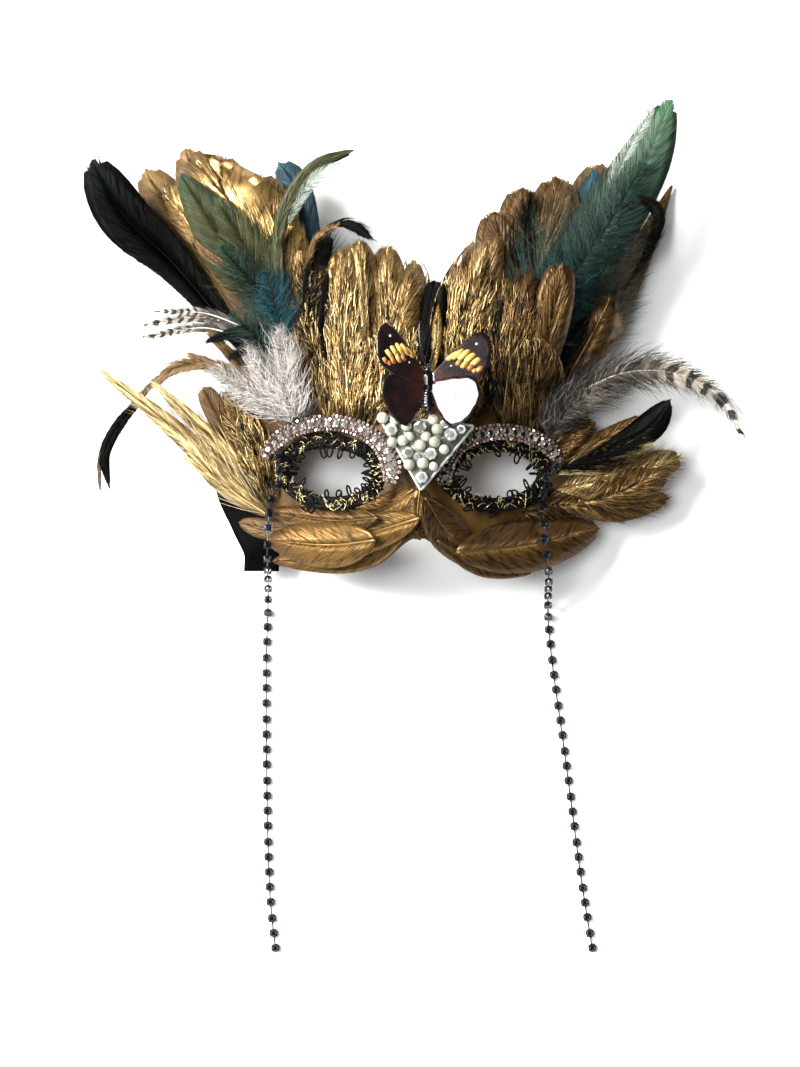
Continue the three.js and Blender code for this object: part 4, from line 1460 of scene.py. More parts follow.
LEFT_EAR = (
    Feather("fan_left_outer", Dye.TAN, Plumage.SMOOTH, ((-56, 38), (-91, 93), (-116, 134)), 12, 1.6, 0.45),
    Feather("blue_feather_left", Dye.BLUE, Plumage.SMOOTH, ((-40, 46), (-43, 98), (-50, 124), (-57, 134)), 7,
            1.6),
    Feather("fan_left_tall", Dye.TAN, Plumage.SMOOTH, ((-52, 40), (-78, 97), (-97, 140)), 13, 1.5, 0.5),
    Feather("fan_left_mid", Dye.GOLD, Plumage.SPLIT, ((-49, 42), (-68, 96), (-82, 136)), 13, 1.5, 0.5),
    Feather("fan_left_gold", Dye.GOLD, Plumage.SPLIT, ((-45, 44), (-57, 93), (-66, 127)), 15, 1.5, 0.45),
    Feather("fan_left_tips", Dye.GOLD, Plumage.SPLIT, ((-88, 94), (-98, 112), (-110, 127)), 7, 1.3,
            over=("fan_left_outer", "fan_left_tall"), rise=0.4),
    Feather("fan_left_gilding", Dye.GOLD, Plumage.SATIN, ((-48, 62), (-68, 103), (-94, 136)), 20, 0.95, 0.7,
            quill=0.0, crumple=2.6, over=LEFT_FAN),
    Feather("black_feather_left", Dye.BLACK, Plumage.SMOOTH,
            ((-66, 48), (-102, 91), (-122, 110), (-135, 133)), 12, 1.7, 0.5),
    Feather("black_tuft_left", Dye.BLACK, Plumage.WISP, ((-43, 60), (-40, 84), (-34, 100)), 9),
    Feather("black_mass_left", Dye.BLACK, Plumage.LOOSE, ((-42, 54), (-43, 76), (-38, 98)), 13, quill=0.0,
            over=("fan_left_gold", "blue_feather_left", "black_tuft_left", "crest_left_outer")),
    Feather("brown_strands_left", Dye.BRONZE, Plumage.STRANDS, ((-46, 82), (-40, 96), (-30, 104)), 3,
            quill=0.0, over=("black_tuft_left", "blue_feather_left", "black_curl_left")),
    Feather("green_feather_left", Dye.OLIVE, Plumage.HACKLE, ((-52, 58), (-64, 82), (-78, 98), (-97, 126)),
            14, blunt=0.75),
    Feather("green_web_left", Dye.OLIVE, Plumage.VEIL, ((-52, 64), (-66, 90), (-82, 116)), 15, 1.1,
            quill=0.0, over=(*LEFT_FAN, "green_feather_left"), rise=0.3),
    Feather("gold_strand_left", Dye.TAN, Plumage.SMOOTH, ((-68, 82), (-84, 91), (-97, 103)), 2.2,
            over=LEFT_GREEN, rise=1.4),
    Feather("loose_barbs_left", Dye.LOOSE_GREEN, Plumage.LOOSE, ((-54, 58), (-64, 76), (-80, 96)), 19, 0.7,
            quill=0.0, over=LEFT_GREEN, rise=1.2),
    Feather("teal_fluff_left", Dye.TEAL, Plumage.LOOSE, ((-54, 58), (-57, 72), (-62, 86)), 13, 0.8,
            quill=0.0, over=(*LEFT_GREEN, "black_tuft_left"), rise=1.6),
    Feather("green_curl_left", Dye.OLIVE, Plumage.SATIN,
            ((-53, 70), (-56, 96), (-52, 111), (-46, 121), (-38, 129), (-24, 134)), 3.8, 1.1, rows=12),
    Feather("curl_fringe_left", Dye.PALE_GREEN, Plumage.VEIL, ((-52, 104), (-43, 120), (-29, 130)), 4,
            quill=0.0, over=("green_curl_left",), rise=0.0),
    Feather("quill_wisp_left", Dye.BLACK, Plumage.BARE, ((-127, 122), (-131, 131), (-133.6, 139.5)), 0.6,
            over=("black_feather_left",), rise=0.1),
)
LEFT_SIDE = (
    Feather("curl_feather_left", Dye.CURLED, Plumage.CURL,
            ((-56, 28), (-76, 46), (-103, 45), (-120, 29), (-133, 10), (-134, -7)), 2.0, rows=12),
    Feather("curl_upper_left", Dye.TAN, Plumage.CURL, ((-70, 40), (-86, 47.5), (-101, 46), (-111, 38)), 4.2,
            quill=0.0, over=("curl_feather_left",), rise=0.3),
    Feather("curl_tip_left", Dye.BLACK, Plumage.SPLIT, ((-115, 33), (-124, 24), (-131.5, 10), (-130, -4)),
            2.9, quill=0.3, over=("curl_feather_left",), rise=0.3),
    Feather("side_left_blunt", Dye.TAN, Plumage.CHEEK, ((-61, -6), (-74, 12), (-89, 38)), 5.5, 2.2, 0.3),
    Feather("side_left_gold", Dye.GOLD, Plumage.GILDED, ((-60, -2), (-70, 17), (-79, 36)), 6.5),
    Feather("side_left_second", Dye.PALE_GOLD, Plumage.WISP, ((-61, -12), (-82, 13), (-110, 40)), 7.5, 0.8,
            0.8),
    Feather("side_left_long", Dye.PALE_GOLD, Plumage.WISP, ((-61, -16), (-86, 7), (-109, 27), (-133, 45)),
            8.5, 0.75, 0.9),
    Feather("side_left_strand", Dye.PALE_GOLD, Plumage.WISP, ((-60, -17), (-80, -3), (-99, 17)), 9, 0.8, 0.8,
            over=("side_left_long", "ribbon_end_left"), rise=0.6),
    Feather("side_fluff_left", Dye.GOLD, Plumage.FLUFF, ((-58, -12), (-64, 6), (-70, 26)), 7, quill=0.0,
            over=("mask_shell", "side_left_gold", "side_left_blunt", "side_left_second")),
    Feather("side_streaks_left", Dye.BLACK, Plumage.STRANDS, ((-58, -8), (-64, 6), (-72, 22)), 2.2,
            quill=0.0, over=("mask_shell", "side_left_gold", "side_left_second"), rise=1.8),
    Feather("grizzly_left", Dye.BARRED, Plumage.CURL, ((-52, 50), (-84, 66), (-114, 64)), 3.4, 0.75),
    Feather("barred_tip_left_upper", Dye.BARRED, Plumage.CURL, ((-66, 60), (-86, 68), (-108, 69.5)), 2.6,
            over=("grizzly_left",), rise=0.3),
    Feather("barred_tip_left_lower", Dye.BARRED, Plumage.CURL, ((-64, 54), (-86, 62), (-114, 58.5)), 2.6,
            over=("grizzly_left",), rise=0.3),
    Feather(
        "dark_fluff_left", Dye.LOOSE_GREEN, Plumage.LOOSE, ((-54, 46), (-64, 57), (-76, 68)), 15, quill=0.0,
        over=("grizzly_left", "green_feather_left", "black_feather_left", "curl_feather_left"),
    ),
    Feather("black_spike_left_upper", Dye.BLACK, Plumage.CURL, ((-54, 58), (-70, 60.5), (-87, 56)), 3.8,
            over=("grizzly_left", "green_feather_left"), rise=1.6),
    Feather("black_spike_left_lower", Dye.BLACK, Plumage.CURL, ((-50, 54), (-63, 55), (-77, 49)), 4.2,
            over=("grizzly_left", "down_left_low"), rise=1.8),
    Feather("tan_spike_left_upper", Dye.TAN, Plumage.WISP, ((-60, 32), (-72, 46), (-86, 61)), 5,
            over=("curl_feather_left", "down_left_low", "grizzly_left"), rise=0.4),
    Feather("tan_spike_left_lower", Dye.TAN, Plumage.WISP, ((-62, 32), (-78, 43), (-96, 52.5)), 4.6,
            over=("curl_feather_left", "down_left_low"), rise=0.6),
    Feather("down_left_low", Dye.DOWN, Plumage.DOWN, ((-54, 23), (-66, 33), (-84, 45)), 8),
    Feather("temple_tip_left", Dye.TAN, Plumage.CHEEK, ((-47, -21), (-61, -22.5), (-74, -19.5)), 4.6, 1.2,
            over=("ribbon_end_left", "mask_shell", "cheek_left_upper"), rise=0.4),
)
CREST = (
    Feather("down_left_tall", Dye.DOWN, Plumage.DOWN, ((-47, 24), (-52, 42), (-55, 60)), 10),
    Feather("temple_down_left", Dye.DOWN, Plumage.DOWN, ((-46, 17), (-50, 30), (-54, 44)), 10, quill=0.0,
            over=("mask_shell", "down_left_tall", "down_left_low")),
    Feather("down_left_middle", Dye.DOWN, Plumage.DOWN, ((-50, 22), (-60, 38), (-69, 54)), 8, quill=0.3,
            over=("down_left_low", "down_left_tall", "curl_feather_left", "grizzly_left"), rise=0.6),
    Feather("crest_centre_black", Dye.BLACK, Plumage.SMOOTH, ((6, 36), (10, 58), (10, 81)), 6),
    Feather("crest_left_inner", Dye.GOLD, Plumage.GILDED, ((-4, 33), (-1, 64), (1, 90)), 9, blunt=0.6,
            crown=0.3),
    Feather("crest_left_middle", Dye.GOLD, Plumage.GILDED, ((-14, 26), (-11, 62), (-10, 95)), 12, 1, 0.6,
            columns=3, crown=0.3),
    Feather("crest_left_outer", Dye.GOLD, Plumage.GILDED, ((-26, 24), (-28, 60), (-26, 95)), 11, 1, 0.6,
            columns=3, crown=0.35),
    Feather("crest_seam_left", Dye.GOLD, Plumage.FLUFF, ((-17, 30), (-18, 56), (-17, 82)), 5, quill=0.0,
            over=LEFT_LOBES),
    Feather("crest_seam_middle", Dye.GOLD, Plumage.FLUFF, ((-5, 34), (-5, 56), (-4, 84)), 5, quill=0.0,
            over=LEFT_LOBES),
    Feather("forehead_left", Dye.GOLD, Plumage.FLUFF, ((-25, 18), (-24, 38), (-23, 58)), 17, blunt=0.35,
            quill=0.0, over=LEFT_LOBES),
    Feather("forehead_centre", Dye.GOLD, Plumage.FLUFF, ((2, 18), (-3, 40), (-5, 60)), 11, quill=0.0,
            over=LEFT_LOBES),
    Feather("gold_strip_left", Dye.GOLD, Plumage.FLUFF, ((-37, 40), (-41, 62), (-38, 86)), 3.5, quill=0.0,
            over=("mask_shell", "fan_left_gold", "crest_left_outer", "black_tuft_left"), rise=1.4),
    Feather("black_strip_left", Dye.BLACK, Plumage.SPLIT, ((-33.5, 42), (-37, 62), (-35.5, 84)), 2.8,
            quill=0.0, over=("mask_shell", "crest_left_outer", "black_tuft_left"), rise=2.4),
    # Black strands in the valley between the left lobes: painted shadow where the lobes meet.
    Feather("crest_valley_left", Dye.BLACK, Plumage.STRANDS, ((-15, 50), (-17.5, 66), (-16, 80)), 2,
            quill=0.0, over=LEFT_LOBES, rise=2.6),
    Feather("crest_tip_outer", Dye.GOLD, Plumage.SATIN, ((-24, 50), (-27, 72), (-30, 93)), 9, 1.2, quill=0.0,
            over=LEFT_LOBES, rise=1.5),
    Feather("crest_tip_second", Dye.GOLD, Plumage.SATIN, ((-19, 50), (-20, 74), (-22, 97)), 8.5, 1.3,
            quill=0.0, over=LEFT_LOBES, rise=2),
    Feather("crest_tip_middle", Dye.GOLD, Plumage.SATIN, ((-12, 48), (-12, 72), (-10, 95.5)), 10, 1.2,
            quill=0.0, over=LEFT_LOBES, rise=1.6),
    Feather("crest_tip_inner", Dye.GOLD, Plumage.SATIN, ((-9, 46), (-5, 68), (2, 86)), 9.5, 1.1, quill=0.0,
            over=LEFT_LOBES, rise=2.2),
    Feather("black_curl_left", Dye.BLACK, Plumage.CURL, ((-42, 72), (-40, 98), (-28, 104), (-16, 97)), 3.4,
            3.6, 1.3, rows=10),
)
RIGHT_EAR = (
    Feather("brown_side_right", Dye.BRONZE, Plumage.SMOOTH, ((60, 21), (84, 64), (99, 97), (113, 127)), 6.2,
            blunt=1.0),
    Feather("fan_right_back", Dye.TAN, Plumage.RIMMED, ((53, 38), (68, 83), (81, 134)), 14, 1.5, 0.5),
    Feather("side_web_right", Dye.BRONZE, Plumage.SMOOTH, ((64, 38), (82, 72), (98, 110)), 12.5,
            over=("brown_side_right", "fan_right_back", "black_under_right"), rise=0.2),
    Feather("blue_feather_right", Dye.BLUE, Plumage.HACKLE, ((55, 50), (71, 103), (78, 130)), 7, 1.4),
    Feather("fan_right_tall", Dye.BRONZE, Plumage.RIMMED, ((49, 42), (58, 82), (61, 126)), 14, 1.5, 0.45),
    Feather("fan_right_dark", Dye.BRONZE, Plumage.RIMMED, ((45, 44), (49, 82), (46, 121)), 14, 1.5, 0.45),
    Feather("fan_right_mid", Dye.BRONZE, Plumage.RIMMED, ((42, 44), (41, 78), (34, 110)), 13, 1.5, 0.45),
    Feather("fan_right_low", Dye.TAN, Plumage.RIMMED, ((38, 44), (34, 70), (25, 97)), 10, 1.5, 0.45),
    Feather("black_fluff_right", Dye.BLACK, Plumage.LOOSE, ((44, 86), (47, 100), (50, 118)), 9, quill=0.0,
            over=RIGHT_FAN),
    Feather("olive_strands_right", Dye.TAN, Plumage.STRANDS, ((52, 84), (58, 104), (66, 124)), 9, quill=0.0,
            over=RIGHT_FAN),
    Feather("black_under_right", Dye.BLACK, Plumage.WISP, ((57, 36), (72, 54), (85, 74)), 8),
    Feather("green_feather_right", Dye.GREEN, Plumage.HACKLE,
            ((53, 62), (67, 87), (81, 105), (98, 133), (108, 157)), 14, blunt=0.65, rows=10),
    Feather("loose_barbs_right", Dye.LOOSE_GREEN, Plumage.LOOSE, ((54, 56), (67, 82), (81, 103), (97, 130)),
            37, 0.55, 0.8, quill=0.0, over=RIGHT_GREEN, rise=1.0),
    Feather("loose_edge_right", Dye.LOOSE_GREEN, Plumage.LOOSE, ((66, 58), (76, 78), (87, 98)), 27,
            quill=0.0, over=RIGHT_GREEN, rise=1.4),
    Feather("teal_fluff_right", Dye.TEAL, Plumage.LOOSE, ((66, 52), (64, 72), (60, 94)), 24, 0.8, quill=0.0,
            over=RIGHT_GREEN, rise=1.6),
    Feather("pale_edge_right", Dye.PALE_GREEN, Plumage.VEIL, ((82, 118), (90, 135), (101, 154)), 5.5,
            quill=0.0, over=("green_feather_right",), rise=0.5),
    Feather("black_curl_right", Dye.BLACK, Plumage.CURL, ((88, 76), (102, 99), (103, 109), (93, 115)), 4.6,
            1.9, rows=10),
)
RIGHT_CREST = (
    Feather("crest_right_inner", Dye.GOLD, Plumage.GILDED, ((18, 30), (22, 64), (31, 97)), 13, 1, 0.6,
            columns=3, crown=0.3),
    Feather("crest_right_outer", Dye.BRONZE, Plumage.GILDED, ((37, 22), (41, 52), (49, 83)), 12, 1, 0.55,
            columns=3, crown=0.3),
    Feather("black_gap_right", Dye.BLACK, Plumage.STRANDS, ((62, 40), (67, 54), (72, 68)), 8, quill=0.0,
            over=("mask_shell", "green_feather_right", "black_under_right", "fan_right_back"), rise=1.6),
    Feather("crest_right_round", Dye.BRONZE, Plumage.SATIN, ((54, 38), (57, 62), (61, 86)), 8.5, 1.5, 0.3,
            quill=0.0, crown=0.25),
    Feather("crest_tip_right", Dye.GOLD, Plumage.SATIN, ((25, 52), (28, 74), (35, 99)), 7.5, 1.3, quill=0.0,
            over=RIGHT_LOBES, rise=2),
    Feather("crest_tip_right_low", Dye.TAN, Plumage.SATIN, ((20, 60), (20, 74), (17, 86)), 5, 1.2, quill=0.0,
            over=RIGHT_LOBES, rise=1.5),
    Feather("black_centre_top", Dye.BLACK, Plumage.CHEEK, ((5, 44), (8, 62), (9.5, 81)), 6, 1.3, 0.4,
            over=("crest_centre_black", "crest_left_inner", "crest_right_inner"), rise=3.2),
    Feather("gold_strip_centre", Dye.GOLD, Plumage.CHEEK, ((7, 40), (9.5, 54), (10.5, 69)), 2.6, quill=0.0,
            over=("crest_centre_black", "crest_left_inner", "crest_right_inner"), rise=4.2),
    Feather("gold_strands_crest", Dye.GOLD, Plumage.STRANDS, ((41, 44), (43, 60), (47, 78)), 8, quill=0.0,
            over=RIGHT_LOBES, rise=1.8),
    # Black strands in the valley between the right lobes: painted shadow where the lobes meet.
    Feather("crest_valley_right", Dye.BLACK, Plumage.STRANDS, ((31, 26), (33.5, 46), (37, 70)), 5, quill=0.0,
            over=RIGHT_LOBES, rise=2.0),
    Feather("crest_seam_right", Dye.BRONZE, Plumage.FLUFF, ((32, 30), (33, 54), (38, 80)), 6, quill=0.0,
            over=RIGHT_LOBES),
    Feather("forehead_right_inner", Dye.BRONZE, Plumage.FLUFF, ((22, 20), (23, 38), (24, 56)), 10, quill=0.0,
            over=RIGHT_LOBES),
    Feather("forehead_right", Dye.BRONZE, Plumage.FLUFF, ((46, 16), (46, 34), (45, 56)), 16, blunt=0.35,
            quill=0.0, over=(*RIGHT_LOBES, "crest_right_round")),
)
RIGHT_SIDE = (
    Feather("temple_tuft_right", Dye.BRONZE, Plumage.TUFTED, ((46, -15), (62, -12), (80, -8)), 8, quill=0.0,
            over=("mask_shell", "cheek_right_large", "gold_side_right"), rise=0.2),
    Feather("gold_side_right_low", Dye.BRONZE, Plumage.TUFTED, ((61, -12), (86, -13), (110, -9)), 7.5, 1.2,
            quill=0.0),
    Feather("gold_side_right", Dye.GOLD, Plumage.TUFTED, ((61, -6), (88, 0), (115, 8)), 9, 1.3, 0.5),
    Feather("gold_fan_right", Dye.BRONZE, Plumage.TUFTED, ((70, -12), (88, -7), (109, 4)), 11, 1.2, 0.6,
            quill=0.0, crumple=1.5, over=("gold_side_right", "gold_side_right_low")),
    Feather("temple_leaf_right", Dye.BRONZE, Plumage.SPLIT, ((54, 8), (64, 16), (77, 25)), 8.5, 1.2,
            over=("mask_shell", "temple_feather_right"), rise=0.3),
    Feather("temple_feather_right", Dye.BRONZE, Plumage.SPLIT, ((60, 4), (78, 14), (96, 25)), 4.6, 0.8),
    Feather("black_feather_right", Dye.BLACK, Plumage.CHEEK, ((61, 1), (85, 12), (100, 20.5), (109, 32)),
            6.5, 1.7, 0.8),
    Feather(
        "gold_strands_right", Dye.PALE_GOLD, Plumage.STRANDS, ((60, 0), (82, 8), (102, 13)), 7, quill=0.0,
        over=("mask_shell", "gold_side_right", "black_feather_right", "temple_feather_right"),
    ),
    Feather("black_strands_right", Dye.BLACK, Plumage.STRANDS, ((60, 2), (80, 8), (98, 15)), 7, quill=0.0,
            over=("mask_shell", "gold_side_right", "black_feather_right", "temple_feather_right"), rise=1.3),
    Feather("grizzly_right", Dye.BARRED, Plumage.BARRED,
            ((54, 21), (72, 36), (93, 44), (114, 42), (130, 32), (139, 17)), 10, 0.56, 1.2, rows=12),
    Feather("temple_fluff_right", Dye.GREY_FLUFF, Plumage.DOWN, ((58, 15), (66, 28), (80, 38)), 11,
            quill=0.0, over=("mask_shell", "grizzly_right", "crest_right_outer")),
)
GROUPS = (
    FeatherGroup("cheeks", CHEEKS),
    FeatherGroup("left ear", LEFT_EAR),
    FeatherGroup("left side", LEFT_SIDE),
    FeatherGroup("crest", CREST),
    FeatherGroup("right ear", RIGHT_EAR),
    FeatherGroup("right crest", RIGHT_CREST),
    FeatherGroup("right side", RIGHT_SIDE),
)


# Hard parts


@dataclass(frozen=True)
class PlainFinish:
    """A finish of one colour that varies a little, for metal, stone, thread, pearl and lacquer.

    vary is the other colour, in clouds of the given scale in 1/m, and grain the depth of the
    surface's roughness in metres at grain_scale.
    """

    name: str
    colour: str
    vary: str
    scale: float = 300.0
    metal: float = 0.0
    rough: tuple[float, float] = (0.3, 0.45)
    coat: float = 0.0
    coat_rough: float = 0.03
    index: float = 1.5
    clear: float = 0.0
    sheen: float = 0.0
    grain: float = 0.0
    grain_scale: float = 2500.0
    use_tone: bool = False
    gloss: float = 0.5

    def material(self) -> Material:
        """Builds the shader.

        Returns:
            The material.
        """
        b = Bench(self.name)
        cloud = b.noise(self.scale, 4)
        share = b.range(cloud, "Fac", 0.35, 0.65, 0.0, 1.0)
        factor = (share, "Result")
        if self.use_tone:
            tone = b.node("Attribute", attribute_name="tone")
            part = b.maths("MULTIPLY", (tone, "Fac"), 0.7)
            factor = (b.maths("MULTIPLY_ADD", (share, "Result"), 0.3, (part, 0)), 0)
        colour = b.blend(factor, linear(self.colour), linear(self.vary))
        b.link(colour[0], colour[1], b.shader, "Base Color")
        rough = b.range(cloud, "Fac", 0.3, 0.7, *self.rough)
        b.link(rough, "Result", b.shader, "Roughness")
        b.put(
            b.shader,
            Metallic=self.metal,
            Coat_Weight=self.coat,
            Coat_Roughness=self.coat_rough,
            IOR=self.index,
            Transmission_Weight=self.clear,
            Sheen_Weight=self.sheen,
            Specular_IOR_Level=self.gloss,
        )
        if self.grain:
            fine = b.noise(self.grain_scale, 4)
            b.bump(fine, "Fac", 0.6, self.grain)
        return b.material


SHELL_FINISH = PlainFinish("shell", "6b4c22", "3c2a12", 120, 0.35, (0.4, 0.6), grain=0.0003, grain_scale=900)
RIBBON_FINISH = PlainFinish("ribbon", "010102", "030304", 400, rough=(0.5, 0.65), grain=0.0001, gloss=0.03)
THREAD_FINISH = PlainFinish(
    "looped_braid", "030303", "070707", 800, rough=(0.4, 0.6), grain=0.0001, gloss=0.1,
)
GOLD_THREAD_FINISH = PlainFinish("gold_thread", "a8904c", "efe4b4", 900, 0.8, (0.2, 0.4))
BAND_FINISH = PlainFinish("stone_setting", "2a2423", "14100f", 500, 0.7, (0.35, 0.5))
ROSE_STONE_FINISH = PlainFinish("rose_stones", "4c3a34", "dcc2b4", 900, 0.7, (0.08, 0.2), 0.6, use_tone=True)
CLEAR_STONE_FINISH = PlainFinish(
    "clear_stones", "84847c", "f4f2ea", 900, 0.8, (0.04, 0.12), 0.6, use_tone=True,
)
PLATE_FINISH = PlainFinish("nose_plate", "585a54", "74766e", 200, 0.2, (0.3, 0.45), 0.3, grain=0.0001)
RIM_FINISH = PlainFinish("plate_rim", "a0a49c", "c4c6c0", 200, 0.1, (0.2, 0.4), 0.4, grain=0.0001)
PEARL_FINISH = PlainFinish("pearls", "8c8a7a", "bebcac", 300, 0.0, (0.22, 0.34), 0.7, 0.08, use_tone=True)
CRYSTAL_FINISH = PlainFinish(
    "crystals", "a0a8a0", "f0f4f0", 600, 0.6, (0.02, 0.06), clear=0.4, index=1.6, use_tone=True,
)
JET_FINISH = PlainFinish("butterfly_body", "030303", "070708", 500, 0.0, (0.16, 0.28), 0.4)
SILVER_FINISH = PlainFinish("chain_metal", "1c1e22", "5c6066", 600, 1.0, (0.2, 0.35))
CHAIN_STONE_FINISH = PlainFinish(
    "chain_stones", "040509", "0a1020", 900, 0.0, (0.03, 0.1), 0.7, index=1.6, use_tone=True,
)


@dataclass
class Shell:
    """The moulded shell with its eye holes, cut from height bottom to top.

    hole holds their half width and half height, and eyes a spot and a tilt for each.
    """

    rows: int = 36
    columns: int = 72
    hole: Point = (18.0, 10.0)
    hole_corners: int = 56
    bottom: float = 4.0
    top: float = 80.0
    eyes: tuple[Spot, ...] = ((-34, 1, -0.12), (35, 0, 0.06))

    def build(self) -> None:
        """Makes the shell."""
        x = ShellForm.column_lines(self.columns)
        share = np.linspace(0, 1, self.rows)[:, None]
        y = mix(ShellForm.bottom(x)[None, :], ShellForm.top(x)[None, :], share)
        x = np.broadcast_to(x, y.shape)
        top = np.stack([x, y, ShellForm.height(x, y)], -1)
        place = np.stack([(x + 80) / 160, (y + 45) / 100], -1)
        stock = Stock()
        stock.plate(top, ShellForm.wall, place)
        shell = stock.piece("moulded_shell", SHELL_FINISH.material())
        for number, (eye_x, eye_y, turn) in enumerate(self.eyes):
            self.cut(shell, number, eye_x, eye_y, turn)
        hand_over(shell, "shell", "mask_shell")

    def cut(self, shell: bpy.types.Object, number: int, eye_x: float, eye_y: float, turn: float) -> None:
        """Cuts one eye hole.

        Args:
            shell: the shell.
            number: which eye.
            eye_x: x of its middle.
            eye_y: y of its middle.
            turn: its tilt in radians.
        """
        angle = np.linspace(0, math.tau, self.hole_corners, endpoint=False)
        stock = Stock()
        stock.tubes(slab(ring_of((eye_x, eye_y), *self.hole, turn, angle), self.bottom, self.top))
        cutter = stock.piece(f"eye_cutter_{number}", shell.data.materials[0])
        boolean = shell.modifiers.new("eye", "BOOLEAN")
        boolean.operation, boolean.solver, boolean.object = "DIFFERENCE", "EXACT", cutter
        with bpy.context.temp_override(object=shell, active_object=shell, selected_objects=[shell]):
            bpy.ops.object.modifier_apply(modifier=boolean.name)
        bpy.data.objects.remove(cutter)


@dataclass
class RibbonEnd:
    """A short end of satin ribbon, laid over the temple."""

    name: str
    points: Line
    half: float = 7.5
    wall: float = 0.3
    rows: int = 60
    columns: int = 9

    def build(self, material: Material) -> None:
        """Args:
            material: the satin.
        """
        blade = Blade(self.name, self.points, lambda u: np.full(np.shape(u), self.half), 9, 2)
        run, side = blade.grid(self.rows, self.columns)
        top = blade.at(run, side * self.half, np.zeros_like(run))
        stock = Stock()
        stock.plate(top, self.wall, blade.place(run, side * self.half))
        piece = hand_over(stock.piece(self.name + "_satin", material), "ribbon", self.name)
        length = float(np.linalg.norm(np.diff(top, axis=0), axis=-1).mean(axis=1).sum())
        LOG.info("%s: %.1f mm long", self.name, length)


def ring_of(centre: Point, a: float, b: float, turn: float, angle: Array) -> Array:
    """Points of a tilted oval.

    Args:
        centre: its middle.
        a: its half length.
        b: its half height.
        turn: its tilt in radians.
        angle: where round it, in radians.

    Returns:
        Rows of x and y.
    """
    along, up = a * np.cos(angle), b * np.sin(angle)
    x = centre[0] + along * math.cos(turn) - up * math.sin(turn)
    y = centre[1] + along * math.sin(turn) + up * math.cos(turn)
    return np.stack([x, y], -1)


